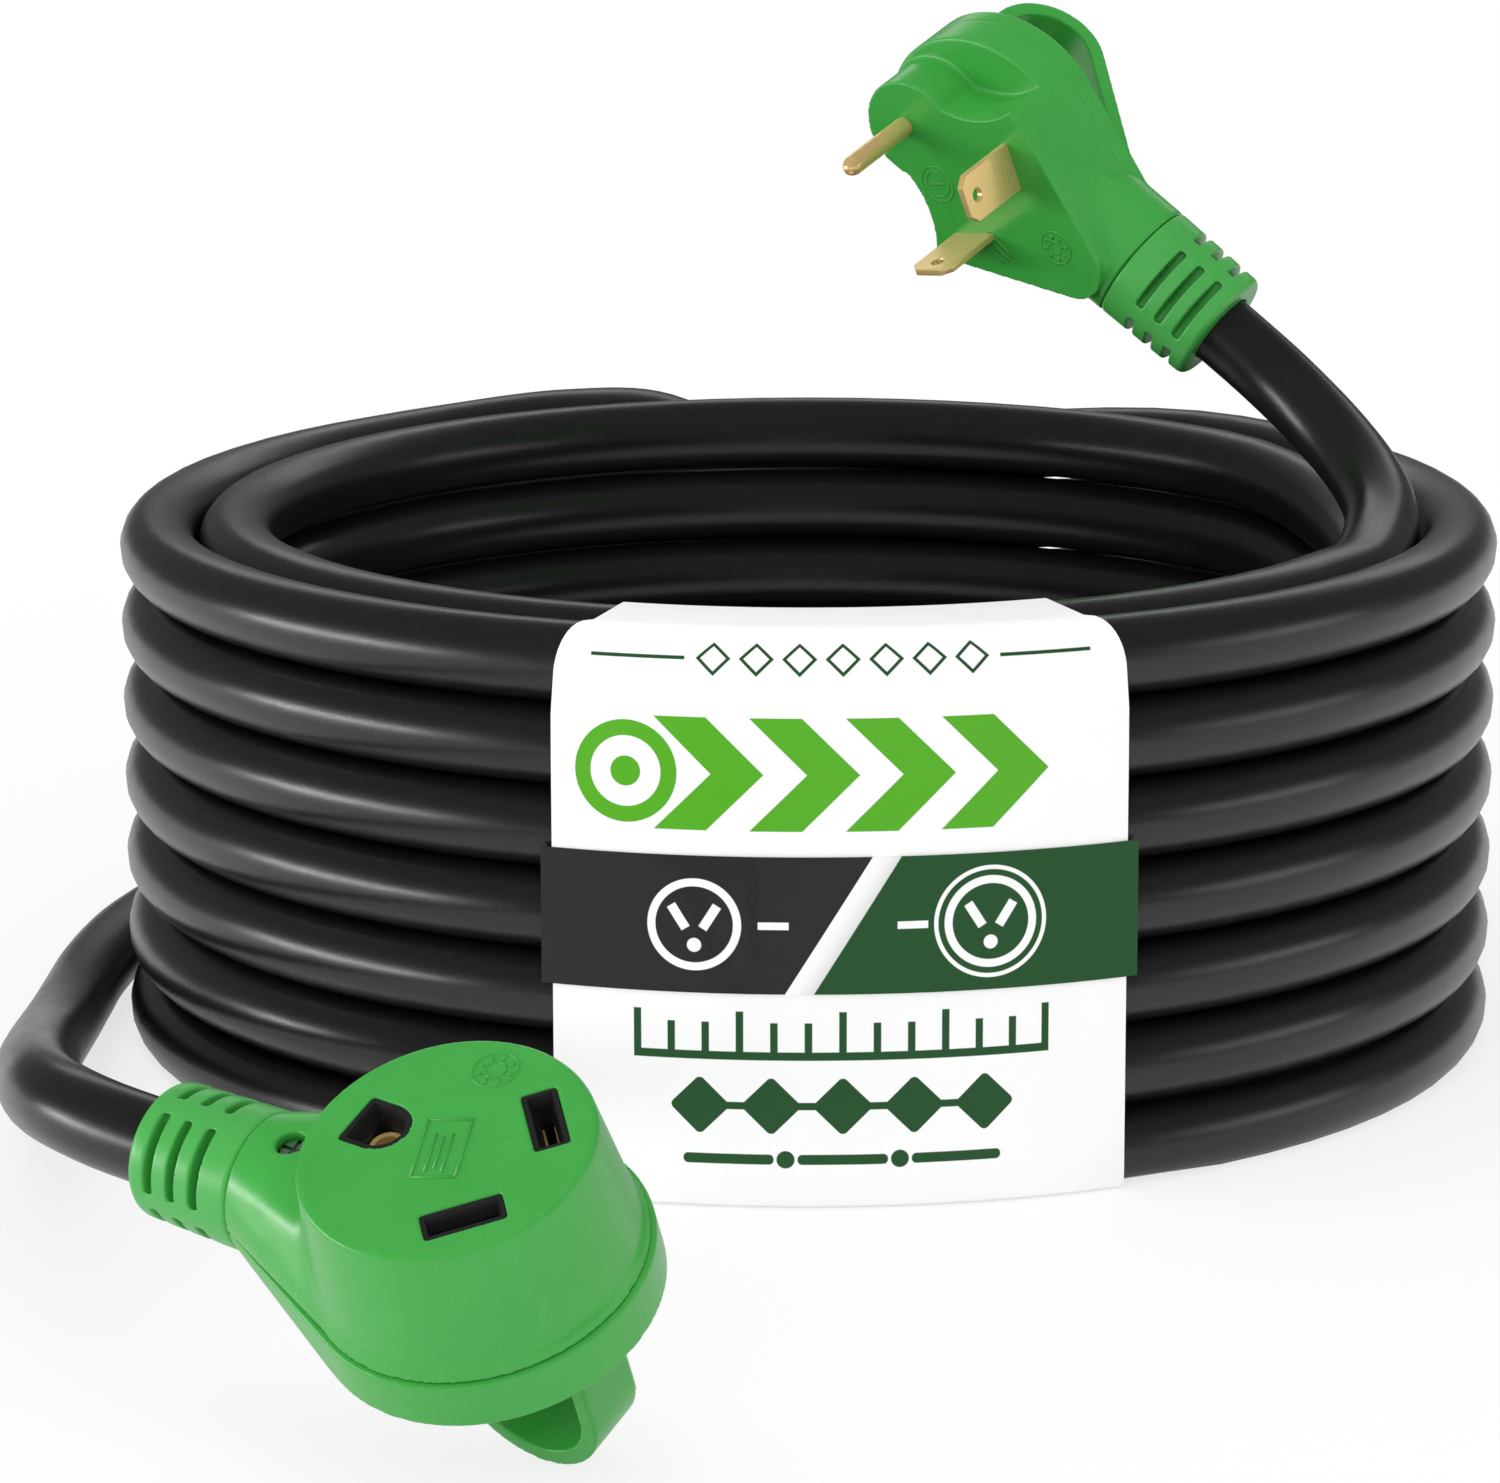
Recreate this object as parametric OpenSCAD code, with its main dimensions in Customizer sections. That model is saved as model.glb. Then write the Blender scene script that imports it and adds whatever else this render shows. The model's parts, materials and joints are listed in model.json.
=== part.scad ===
// Shore power cord, 30 A three-wire, wound in a flat-bottomed coil with its plug standing above the coil
// and its connector resting on its own handle in front. Millimetres, +Z up, floor at z = 0.

/* [Cord] */
// Outside diameter of the cord jacket
cord_d = 17; // [15:0.5:17.5]
// Free space between neighbouring turns of the coil
turn_gap = 0.8; // [0.6:0.1:1.5]
// Radius of the outermost turn, to the middle of the cord
coil_r = 148.8; // [146:0.2:156]

/* [Blade and pin layout] */
// Distance of the ground contact from the middle of the face
ground_out = 14.8; // [13:0.1:16]
// Distance of each power contact from the middle of the face, along and across
blade_out = 13.1; // [12:0.1:13.6]
// Width of a power blade
blade_w = 12; // [10:0.1:12.5]
// Thickness of a power blade
blade_t = 1.6; // [1.2:0.1:2]
// Length of a power blade outside the face
blade_l = 18.5; // [15:0.5:22]
// Diameter of the ground pin
pin_d = 4.8; // [4:0.1:6]
// Length of the ground pin outside the face, with its round tip
pin_l = 23; // [19:0.5:27]
// Radial play of the ground pin in the ground socket
pin_play = 0.05; // [0.02:0.01:0.1]

/* [Plug] */
// Radius of the plug's round head
plug_head_r = 27; // [25.5:0.5:33]
// Radius of the rounded nose between the finger notches
plug_nose_r = 12.8; // [12:0.1:14]
// Radius of each finger notch
notch_r = 22.9; // [20:0.1:24]
// Distance of each finger notch's centre from the plug's middle plane
notch_out = 34; // [33.5:0.1:40]
// Depth of the finger notches, from the face
notch_h = 12.6; // [8:0.2:13.4]
// Depth of the plug's housing, from the face to the seam
plug_body_h = 22.4; // [20:0.2:26]
// Thickness of the plug's rear cover
plug_cover_h = 4.6; // [4.2:0.2:14]
// Distance from the face centre to the end of the plug's neck
plug_neck_x = 47.3; // [46:0.1:58]
// Outside radius of the plug's neck
plug_neck_r = 14.6; // [13.6:0.1:16]
// Depth of the plug's cord axis below the face
plug_neck_z = 16.5; // [16:0.1:19]
// Length of the plug's strain relief outside the neck
plug_boot_l = 24.7; // [20:0.1:40]

/* [Connector] */
// Radius of the connector's face
conn_face_r = 27.9; // [27.5:0.1:33]
// Radius of the connector's skirt where it meets the rear cover
conn_skirt_r = 31.2; // [30.5:0.1:37]
// Depth of the connector's housing, from the face to the seam
conn_body_h = 27.9; // [27:0.1:34]
// Radius of the connector's rear cover
conn_cover_r = 32.7; // [31.5:0.1:39]
// Thickness of the connector's rear cover
conn_cover_h = 10.4; // [9:0.2:14]
// Distance from the face centre to the end of the connector's neck
conn_neck_x = 48.8; // [47:0.1:58]
// Outside radius of the connector's neck
conn_neck_r = 13.8; // [13.6:0.1:16]
// Length of the connector's strain relief outside the neck
conn_boot_l = 24.2; // [20:0.1:40]

/* [Handles] */
// Thickness of the pull handle's strap
strap_t = 3.5; // [3:0.1:6]
// Width of the pull handle's strap
strap_w = 13.6; // [10:0.2:14]
// Height of the plug's pull handle over its rear cover
plug_loop_h = 30.2; // [22:0.2:38]
// Height of the connector's pull handle over its rear cover
conn_loop_h = 35.2; // [30:0.2:36]

/* [Shells and fasteners] */
// Wall thickness of the moulded shells
wall = 2.6; // [2:0.1:3]
// Fit clearance between a shell and what sits in it
fit_gap = 0.2; // [0.1:0.05:0.4]
// Diameter of the cover screws' shanks
screw_d = 3; // [2.5:0.1:3.2]
// Diameter of the terminal screws' shanks
term_d = 4; // [3:0.1:4.2]
// Diameter of one insulated conductor inside the jacket
core_d = 4.2; // [3.6:0.1:4.4]

/* [Label] */
// Half of the angle that the card sleeve covers
label_half = 22.4; // [15:0.1:30]
// Angle of the label's middle, counted from the front towards the right
label_turn = 2.6; // [-10:0.1:10]
// Thickness of the card
card_t = 0.5; // [0.3:0.1:1]
// Height of the printed belt's lower edge
belt_z = 46.5; // [20:0.5:60]
// Height of the printed belt itself
belt_h = 29.3; // [20:0.1:45]
// How far the belt stands out past the sleeve on each side, as an angle
belt_over = 0.85; // [0:0.05:3]

/* [Placement] */
// Middle of the plug's face, from the coil's axis
plug_at = [33.5, 50.2, 191.2]; // [-200:0.1:200]
// Turn of the plug about X, Y and Z, in degrees
plug_turn = [117, 36.5, -23.5]; // [-180:0.5:180]
// Middle of the connector's face, from the coil's axis
conn_at = [-65, -342, 68]; // [-400:0.1:200]
// Turn of the connector about X, Y and Z, in degrees
conn_turn = [-29, -6.5, 146]; // [-180:0.5:180]

/* [Hidden] */
$fn = 64;

// Point under the middle of the whole cord, from the coil's axis
model_mid = [-9.5, -12.2, 0];

// Colours
body_green = [0.27, 0.63, 0.29];
inner_black = [0.08, 0.08, 0.08];
jacket_black = [0.1, 0.1, 0.1];
brass_gold = [0.78, 0.62, 0.32];
screw_steel = [0.7, 0.7, 0.72];
card_white = [0.95, 0.95, 0.95];
belt_dark = [0.2, 0.2, 0.2];

// ---- Cord geometry ----

pitch = cord_d + turn_gap;
// Number of turns stacked on each other in the two outer columns
coil_levels = 7;
// The lowest turn is cut flat a tenth of a diameter deep, where it stands
floor_cut = cord_d / 10;
low_z = cord_d / 2 - floor_cut;
ring_step = 15;
coil_first = 30;
coil_last = 5985;
coil_sides = 6;
tail_sides = 12;
core_sides = 8;
// Each move of the winding: angle at its start, angle it takes, columns outwards, levels upwards
moves = concat(
    [for (k = [0:4]) [320 + 360 * k, 60, 0, -1]],
    [[2070, 60, -1, 0], [2370, 60, -1, 0], [2670, 60, 0, -1]],
    [[2985, 60, 1, 0], [3255, 60, 1, 0], [3510, 70, 1, 0]],
    [for (k = [0:5]) [3845 + 360 * k, 70, 0, 1]]
);

function total(v) = v * [for (i = v) 1];
function ease(t) = let (u = min(1, max(0, t))) u * u * (3 - 2 * u);
function moved(turned, part) = total([for (m = moves) m[part] * ease((turned - m[0]) / m[1])]);
function coil_point(turned) = let (
    r = coil_r + pitch * (moved(turned, 2) - 1),
    z = low_z + pitch * (moved(turned, 3) + coil_levels - 1)
) [r * cos(turned), -r * sin(turned), z];
function unit(v) = v / norm(v);
function flat(v) = unit([v[0], v[1], 0]);

coil_rings = [for (a = [coil_first:ring_step:coil_last]) coil_point(a)];
coil_start_dir = flat(coil_point(coil_first) - coil_point(coil_first + 1));
coil_end_dir = flat(coil_point(coil_last) - coil_point(coil_last - 1));
coil_start = coil_rings[0] + cord_d * coil_start_dir;
coil_end = coil_rings[len(coil_rings) - 1] + cord_d * coil_end_dir;
coil_path = concat([coil_start], coil_rings, [coil_end]);

// Least gap between turns, measured from points every few degrees to the runs of the other turns
function to_run(p, a, b) = let (v = b - a, t = min(1, max(0, (p - a) * v / (v * v)))) norm(p - a - t * v);
fine_step = 5;
fine_coil = [for (a = [coil_first:fine_step:coil_last]) coil_point(a)];
fine_last = len(fine_coil) - 1;
fine_turn = 360 / fine_step;
turn_spaces = [
    for (i = [0:fine_last]) for (n = [1:16]) for (k = [i + n * fine_turn - 2:i + n * fine_turn + 1])
        if (k < fine_last) to_run(fine_coil[i], fine_coil[k], fine_coil[k + 1])
];
echo("least gap between turns, mm", min(turn_spaces) - cord_d);

// Turns a vector about X, then Y, then Z, as rotate() does
function turn_x(v, a) = [v[0], v[1] * cos(a) - v[2] * sin(a), v[1] * sin(a) + v[2] * cos(a)];
function turn_y(v, a) = [v[0] * cos(a) + v[2] * sin(a), v[1], v[2] * cos(a) - v[0] * sin(a)];
function turn_z(v, a) = [v[0] * cos(a) - v[1] * sin(a), v[0] * sin(a) + v[1] * cos(a), v[2]];
function turned_by(v, a) = turn_z(turn_y(turn_x(v, a[0]), a[1]), a[2]);

// The connector's cord lies in the seam between its housing and its rear cover
conn_neck_z = conn_body_h;
plug_boot_x = plug_neck_x + plug_boot_l;
conn_boot_x = conn_neck_x + conn_boot_l;
// Where the jacket ends inside each neck, measured back from the neck's end
jacket_in = 12.3;
plug_jacket_x = plug_neck_x - jacket_in;
conn_jacket_x = conn_neck_x - jacket_in;
function on_plug(x) = plug_at + turned_by([x, 0, -plug_neck_z], plug_turn);
function on_conn(x) = conn_at + turned_by([x, 0, -conn_neck_z], conn_turn);

// Route from the plug down onto the coil's top turn
plug_route = concat(
    [on_plug(plug_jacket_x), on_plug(plug_boot_x)],
    [[109, 33.5, 144], [120, 23, 134], [127.5, 8, 126], [130.5, -10, 120], [128, -29, 115.9]],
    [coil_start]
);
// Route from the coil's end, down behind it, round on the floor, past its left side to the connector
conn_route = concat(
    [coil_end],
    [
        [-60, 144.5, 113.4], [-37, 164, 109], [-13, 181, 93], [14, 194, 72], [43, 203, 50],
        [72, 207, 30], [98, 209.5, 15.5], [124, 222, 9], [142, 243, 8.5], [149, 269, 8.5],
        [144, 296, 8.5], [127, 318, 8.5], [102, 331, 8.5], [74, 334, 8.5], [46, 330, 8.5],
        [22, 320.5, 8.5], [1, 307.5, 8.5], [-19, 291.5, 8.5], [-38, 273, 8.5], [-56.5, 252, 8.5],
        [-75, 229, 8.5], [-93, 204, 8.5], [-109, 178, 8.5], [-123.3, 151, 8.5], [-135.4, 123, 8.5],
        [-146, 93, 8.5], [-155.2, 63, 8.5], [-163.2, 33, 8.5], [-167, 4, 8.5], [-168, -25, 9.3],
        [-167.6, -53, 12], [-166.6, -80, 16], [-165, -106, 20.8], [-163, -131, 26],
        [-160.7, -155, 31.3], [-158.2, -178, 36.6], [-155.6, -200, 41.8], [-153, -221, 46.6],
        [-150.2, -239, 50.2], [-146.6, -255.5, 52.8], [-140.8, -269, 54], [-132.6, -279.2, 53.6]
    ],
    [on_conn(conn_boot_x), on_conn(conn_jacket_x)]
);

// Direction of the cord at ring i; the first and last rings are square to their straight ends
function heading(p, i) = let (last = len(p) - 1)
    i == 0 ? unit(p[1] - p[0])
    : i == last ? unit(p[last] - p[last - 1])
    : unit(unit(p[i + 1] - p[i]) + unit(p[i] - p[i - 1]));

function ring(p, t, sides, r) = let (
    across = unit(cross(t, [0, 0, 1])),
    up = cross(across, t)
) [for (j = [0:sides - 1]) let (a = 360 * j / sides) p + r * (cos(a) * across + sin(a) * up)];

// One unbroken tube along the points p, with its end rings square to the directions given
module tube(p, sides, r, start_dir, end_dir) {
    last = len(p) - 1;
    rings = [
        for (i = [0:last]) ring(p[i], i == 0 ? start_dir : i == last ? end_dir : heading(p, i), sides, r)
    ];
    tube_skin(rings, sides);
}

// Closed skin of triangles over rings of points
module tube_skin(rings, sides) {
    last = len(rings) - 1;
    points = [for (r = rings) each r];
    skin = [
        for (i = [0:last - 1]) for (j = [0:sides - 1]) let (
            a = i * sides + j,
            b = i * sides + (j + 1) % sides
        ) each [[a, b, b + sides], [a, b + sides, a + sides]]
    ];
    first_cap = [for (j = [1:sides - 2]) [0, j + 1, j]];
    far = last * sides;
    last_cap = [for (j = [1:sides - 2]) [far, far + j, far + j + 1]];
    polyhedron(points, concat(skin, first_cap, last_cap), convexity = 10);
}

// ---- Shared head geometry: x towards the neck, z out of the face, origin in the middle of the face ----

face_t = 4;
tab_t = 1.6;
ring_t = 1;
head_h = 2.5;
head_r = 3.4;
term_in = 6.5;
// Decks that the terminals sit on, as depths below the face
plug_deck = 15;
conn_deck = 22;
carrier_r = plug_head_r - 6.2;
block_r = conn_face_r - 6;
screw_hole_r = screw_d / 2 + 0.1;
post_r = screw_d / 2 + 1.7;
cover_head_r = 3;
cover_head_h = 2;
plug_screw_out = plug_head_r - 5.5;
conn_screw_out = conn_face_r - 3.3;
screw_angles = [90, 150, 210, 270];
screw_bite = 6.4;

plug_depth = plug_body_h + plug_cover_h;
conn_depth = conn_body_h + conn_cover_h;
// The narrow end of each drop-shaped plan
plug_tail_r = 8.8;
plug_swell_x = 14;
plug_tail_x = plug_neck_x - plug_tail_r - 1.5;
conn_tail_r = conn_neck_r - 0.8;
conn_tail_x = conn_neck_x - 5;

module drop(r, tail_r, tail_x, h) {
    a = acos((r - tail_r) / tail_x);
    cylinder(h = h, r = r);
    translate([tail_x, 0, 0]) cylinder(h = h, r = tail_r);
    linear_extrude(h) polygon([
        [r * cos(a), r * sin(a)], [r * cos(a), -r * sin(a)],
        [tail_x + tail_r * cos(a), -tail_r * sin(a)], [tail_x + tail_r * cos(a), tail_r * sin(a)]
    ]);
}

module along_x(x0, x1, z) {
    translate([x0, 0, -z]) rotate([0, 90, 0]) linear_extrude(x1 - x0) children();
}

// Room past the end of a neck, where the strain relief starts
module past_neck(neck_x) {
    translate([neck_x, -50, -100]) cube(100);
}

// Half space above (side = 1) or below (side = -1) a level, over the neck
module half(z, side) {
    far = 200;
    translate([-far / 2, -far / 2, side > 0 ? -z : -z - far]) cube(far);
}

module at_blade(side) {
    translate([blade_out, side * blade_out, 0]) rotate(side * 45) children();
}

// Bore of a neck: the clamp's and the strain relief's seat, and the smaller mouth
module neck_bore(neck_x, neck_r, neck_z) {
    seat = neck_r - 2.2;
    along_x(neck_x - 12.5, neck_x - 2.6, neck_z) circle(seat);
    along_x(neck_x - 3, neck_x + 1, neck_z) circle(seat - 1);
    along_x(neck_x - 24, neck_x, neck_z) circle(cord_d / 2 + fit_gap);
}

module strain_relief(neck_x, neck_r, neck_z, boot_l) {
    seat = neck_r - 2.2;
    rows = 3;
    row_pitch = 5.5;
    slot_w = 2;
    slot_in = neck_r - 3.2;
    boot_x = neck_x + boot_l;
    difference() {
        union() {
            translate([neck_x, 0, -neck_z]) rotate([0, 90, 0])
                cylinder(h = boot_l, r1 = neck_r, r2 = neck_r - 0.6);
            along_x(neck_x - 4.5, neck_x + 1, neck_z) circle(seat - 1 - fit_gap);
            along_x(neck_x - 4.5, neck_x - 3 + fit_gap, neck_z) circle(seat - fit_gap);
        }
        along_x(neck_x - 5, boot_x + 1, neck_z) circle(cord_d / 2 + 0.05);
        for (k = [0:rows - 1]) for (a = [45:90:315])
            translate([boot_x - 5.2 - row_pitch * k, 0, -neck_z]) rotate([a, 0, 0])
                translate([-slot_w / 2, slot_in * cos(34), -neck_r * sin(34)])
                    cube([slot_w, neck_r, 2 * neck_r * sin(34)]);
    }
}

// Split ring that grips the jacket
module cord_clamp(neck_x, neck_r, neck_z) {
    difference() {
        along_x(neck_x - 12, neck_x - 5.2, neck_z) circle(neck_r - 2.2 - fit_gap);
        along_x(neck_x - 13, neck_x, neck_z) circle(cord_d / 2 + 0.05);
        translate([neck_x - 13, -1.5, -neck_z - neck_r]) cube([12, 3, neck_r]);
    }
}

// Screw with its axis on z, head downwards, standing on z = 0 at the top of its head
module screw(shank_r, shank_l, cap_r, cap_h) {
    difference() {
        union() {
            cylinder(h = shank_l, r = shank_r);
            translate([0, 0, -cap_h]) cylinder(h = cap_h, r = cap_r);
        }
        translate([-cap_r, -0.4, -cap_h - 1]) cube([2 * cap_r, 0.8, 2]);
        translate([-0.4, -cap_r, -cap_h - 1]) cube([0.8, 2 * cap_r, 2]);
    }
}

// Centres of the three terminal screws
ground_screw = [7.5 - ground_out, 0];
blade_screw = blade_out - term_in / sqrt(2);

module at_terminals() {
    translate([ground_screw[0], 0, 0]) children();
    for (s = [-1, 1]) translate([blade_screw, s * blade_screw, 0]) children();
}

module terminal_screws(deck) {
    at_terminals() translate([0, 0, -deck - tab_t - ring_t]) screw(term_d / 2, 7, head_r, head_h);
}

// Tab of a power contact: from the blade inwards to its screw, clear of the deck
module blade_tab(deck) {
    difference() {
        translate([-term_in - 4, -5, -deck - tab_t]) cube([term_in + 4 + 2, 10, tab_t]);
        translate([-term_in, 0, -deck - tab_t - 1]) cylinder(h = tab_t + 2, r = term_d / 2 + 0.1);
    }
}

module ground_tab(deck) {
    difference() {
        union() {
            translate([-ground_out, 0, -deck - tab_t]) cylinder(h = tab_t, r = 4.4);
            translate([-ground_out, -4.4, -deck - tab_t]) cube([7.5 + 4, 8.8, tab_t]);
        }
        translate([ground_screw[0], 0, -deck - tab_t - 1])
            cylinder(h = tab_t + 2, r = term_d / 2 + 0.1);
    }
}

// Round wire along a few points, square to x at both ends
module wire_run(p) {
    tube(p, core_sides, core_d / 2, [1, 0, 0], [1, 0, 0]);
}

// Insulated conductor with an eyelet: its eye lies on the tab, its run goes back to the jacket's end
module conductor(deck, eye, lane, jacket_x, low) {
    eye_z = -deck - tab_t - ring_t;
    run_z = eye_z + ring_t - core_d / 2 - 0.4;
    difference() {
        union() {
            translate([eye[0], eye[1], eye_z]) cylinder(h = ring_t, r = head_r);
            translate([eye[0], eye[1] - 1.4, eye_z]) cube([head_r + 2.4, 2.8, ring_t]);
        }
        translate([eye[0], eye[1], eye_z - 1]) cylinder(h = ring_t + 2, r = term_d / 2 + 0.1);
    }
    wire_run([
        [eye[0] + head_r + 1.2, eye[1], run_z],
        [eye[0] + head_r + 6, eye[1], run_z],
        [jacket_x - 4, lane, low],
        [jacket_x, lane, low]
    ]);
}

// Posts and holes for the screws that hold a rear cover on
module at_screws(out) {
    for (a = screw_angles) rotate(a) translate([out, 0, 0]) children();
}

module cover_screws(out, depth, body_h, bite) {
    at_screws(out) translate([0, 0, -depth + 1 + cover_head_h])
        screw(screw_d / 2, depth - 1 - cover_head_h - body_h + bite - 1, cover_head_r, cover_head_h);
}

// Pull handle: a flat strap bent into a loop that rises from the rear cover's back
module pull_loop(back, rise, bend_r, mid_x, foot_x) {
    low = -back - rise;
    mid = [mid_x, low + bend_r];
    foot = [foot_x, -back];
    span = norm(foot - mid);
    lean = atan2(foot[1] - mid[1], foot[0] - mid[0]);
    touch = lean - acos(bend_r / span);
    edge = [cos(touch), sin(touch)];
    inner_foot = foot_x - strap_t / edge[0];
    root = 1;
    translate([0, strap_w / 2, 0]) rotate([90, 0, 0]) linear_extrude(strap_w) difference() {
        union() {
            translate(mid) circle(bend_r);
            polygon([
                mid, [mid_x - bend_r, mid[1]], [mid_x - bend_r, root - back],
                [foot_x, root - back], foot, mid + bend_r * edge
            ]);
        }
        translate(mid) circle(bend_r - strap_t);
        polygon([
            mid, [mid_x - bend_r + strap_t, mid[1]], [mid_x - bend_r + strap_t, -back],
            [inner_foot, -back], mid + (bend_r - strap_t) * edge
        ]);
    }
}

// ---- Plug ----

module put_plug() {
    translate(plug_at - model_mid) rotate(plug_turn) children();
}

module notches(r, h) {
    for (s = [-1, 1]) translate([-15.1, s * notch_out, -h]) cylinder(h = h + 1, r = r);
}

module plug_inner_plan(r, h) {
    difference() {
        translate([0, 0, -h]) cylinder(h = h, r = r);
        notches(notch_r + wall + (carrier_r + fit_gap - r), h + 1);
    }
}

module plug_housing_shape() {
    difference() {
        union() {
            translate([0, 0, -plug_body_h])
                drop(plug_head_r, plug_tail_r, plug_tail_x, plug_body_h - notch_h);
            difference() {
                translate([0, 0, -notch_h - 0.01])
                    drop(plug_head_r, plug_tail_r, plug_tail_x, notch_h + 0.01);
                notches(notch_r, notch_h);
                translate([-2 * plug_nose_r - 20, -50, -notch_h])
                    cube([plug_nose_r + 20, 100, notch_h + 1]);
            }
            translate([-plug_nose_r, 0, -notch_h - 0.01]) cylinder(h = notch_h + 0.01, r = plug_nose_r);
            intersection() {
                along_x(20, plug_neck_x, plug_neck_z) circle(plug_neck_r);
                half(plug_neck_z, 1);
            }
        }
        // Carrier's pocket, and the wiring chamber behind it
        translate([0, 0, -face_t]) plug_inner_plan(carrier_r + fit_gap, plug_body_h);
        difference() {
            translate([0, 0, -plug_body_h - 1])
                drop(plug_head_r - wall, plug_tail_r - wall, plug_tail_x, plug_body_h + 1 - plug_deck);
            at_screws(plug_screw_out) translate([0, 0, -plug_body_h - 2]) cylinder(h = 11, r = post_r);
        }
        // The cover's half of the neck
        translate([plug_neck_x - 16, -50, -plug_body_h - 1]) cube([60, 100, plug_body_h + 1 - plug_neck_z]);
        neck_bore(plug_neck_x, plug_neck_r, plug_neck_z);
        at_screws(plug_screw_out) translate([0, 0, -plug_body_h - 1])
            cylinder(h = screw_bite + 1, r = screw_hole_r);
        // Openings for the blades and the pin
        for (s = [-1, 1]) at_blade(s)
            translate([-blade_t / 2 - 0.1, -blade_w / 2 - 0.1, -face_t - 1])
                cube([blade_t + 0.2, blade_w + 0.2, face_t + 2]);
        translate([-ground_out, 0, -face_t - 1]) cylinder(h = face_t + 2, r = pin_d / 2 + 0.3);
    }
}

module plug_housing() {
    color(body_green) put_plug() plug_housing_shape();
}

module plug_rear_cover() {
    color(body_green) put_plug() {
        difference() {
            union() {
                translate([0, 0, -plug_depth]) drop(plug_head_r, plug_tail_r, plug_tail_x, plug_cover_h);
                intersection() {
                    along_x(plug_neck_x - 16 + 0.05, plug_neck_x, plug_neck_z) circle(plug_neck_r);
                    half(plug_neck_z + 0.05, -1);
                }
                // The back swells from the head's flat to the neck's round underside
                intersection() {
                    translate([plug_swell_x, 0, -plug_neck_z]) rotate([0, 90, 0])
                        cylinder(h = plug_neck_x - 16 + 0.1 - plug_swell_x,
                            r1 = plug_depth - plug_neck_z, r2 = plug_neck_r);
                    translate([-50, -50, -plug_body_h - 100.5]) cube([150, 100, 100]);
                }
                pull_loop(plug_depth, plug_loop_h, 15, -6, 36);
            }
            difference() {
                translate([0, 0, -plug_depth + wall])
                    drop(plug_head_r - wall, plug_tail_r - wall, plug_tail_x, plug_cover_h);
                at_screws(plug_screw_out) translate([0, 0, -plug_depth])
                    cylinder(h = plug_cover_h + wall + 1, r = cover_head_r + 1.2);
            }
            neck_bore(plug_neck_x, plug_neck_r, plug_neck_z);
            at_screws(plug_screw_out) {
                translate([0, 0, -plug_depth - 1]) cylinder(h = plug_cover_h + 2, r = screw_hole_r);
                translate([0, 0, -plug_depth - 1]) cylinder(h = cover_head_h + 2, r = cover_head_r + 0.2);
            }
        }
    }
}

module plug_contact_carrier() {
    thick = plug_deck - face_t;
    color(inner_black) put_plug() difference() {
        translate([0, 0, -face_t]) plug_inner_plan(carrier_r, thick);
        for (s = [-1, 1]) at_blade(s)
            translate([-blade_t / 2 - 0.1, -blade_w / 2 - 0.1, -plug_deck - 1])
                cube([blade_t + 0.2, blade_w + 0.2, thick + 2]);
        translate([-ground_out, 0, -plug_deck - 1]) cylinder(h = thick + 2, r = pin_d / 2 + 0.3);
        at_terminals() translate([0, 0, -plug_deck - 1]) cylinder(h = 7, r = term_d / 2 + 0.1);
    }
}

module blade(side) {
    tip = 2.2;
    hole_r = 1.6;
    hole_z = blade_l - 4.2;
    color(brass_gold) put_plug() at_blade(side) {
        difference() {
            translate([-blade_t / 2, 0, 0]) rotate([90, 0, 90]) linear_extrude(blade_t) polygon([
                [-blade_w / 2, -plug_deck], [blade_w / 2, -plug_deck],
                [blade_w / 2, blade_l - tip], [blade_w / 2 - tip, blade_l],
                [tip - blade_w / 2, blade_l], [-blade_w / 2, blade_l - tip]
            ]);
            translate([-blade_t, 0, hole_z]) rotate([0, 90, 0]) cylinder(h = 2 * blade_t, r = hole_r);
        }
        blade_tab(plug_deck);
    }
}

module plug_line_blade() {
    blade(1);
}

module plug_neutral_blade() {
    blade(-1);
}

module plug_ground_pin() {
    straight = pin_l - pin_d / 2;
    relief_h = 0.8;
    relief_cut = 0.6;
    color(brass_gold) put_plug() {
        translate([-ground_out, 0, -0.2]) cylinder(h = relief_h + 0.2, d = pin_d - relief_cut);
        translate([-ground_out, 0, relief_h]) cylinder(h = straight - relief_h, d = pin_d);
        translate([-ground_out, 0, straight]) sphere(d = pin_d);
        translate([-ground_out, 0, -plug_deck]) cylinder(h = plug_deck - 0.2, r = pin_d / 2 + 0.2);
        ground_tab(plug_deck);
    }
}

module plug_terminal_screws() {
    color(screw_steel) put_plug() terminal_screws(plug_deck);
}

module plug_cover_screws() {
    color(screw_steel) put_plug() cover_screws(plug_screw_out, plug_depth, plug_body_h, screw_bite);
}

module plug_cord_clamp() {
    color(inner_black) put_plug() cord_clamp(plug_neck_x, plug_neck_r, plug_neck_z);
}

module plug_strain_relief() {
    color(body_green) put_plug() strain_relief(plug_neck_x, plug_neck_r, plug_neck_z, plug_boot_l);
}

lane_y = core_d + 0.4;
plug_lane_z = -plug_neck_z - 2.7;
conn_lane_z = 2.2 - conn_neck_z;

module plug_line_wire() {
    color("black") put_plug()
        conductor(plug_deck, [blade_screw, blade_screw], lane_y, plug_jacket_x, plug_lane_z);
}

module plug_neutral_wire() {
    color("white") put_plug()
        conductor(plug_deck, [blade_screw, -blade_screw], -lane_y, plug_jacket_x, plug_lane_z);
}

module plug_ground_wire() {
    color("green") put_plug() conductor(plug_deck, ground_screw, 0, plug_jacket_x, plug_lane_z);
}

// ---- Connector ----

module put_conn() {
    translate(conn_at - model_mid) rotate(conn_turn) children();
}

window_w = 6.6;
window_l = 15.3;
ground_half = 5.7;
ground_flat = 5.9;

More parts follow.
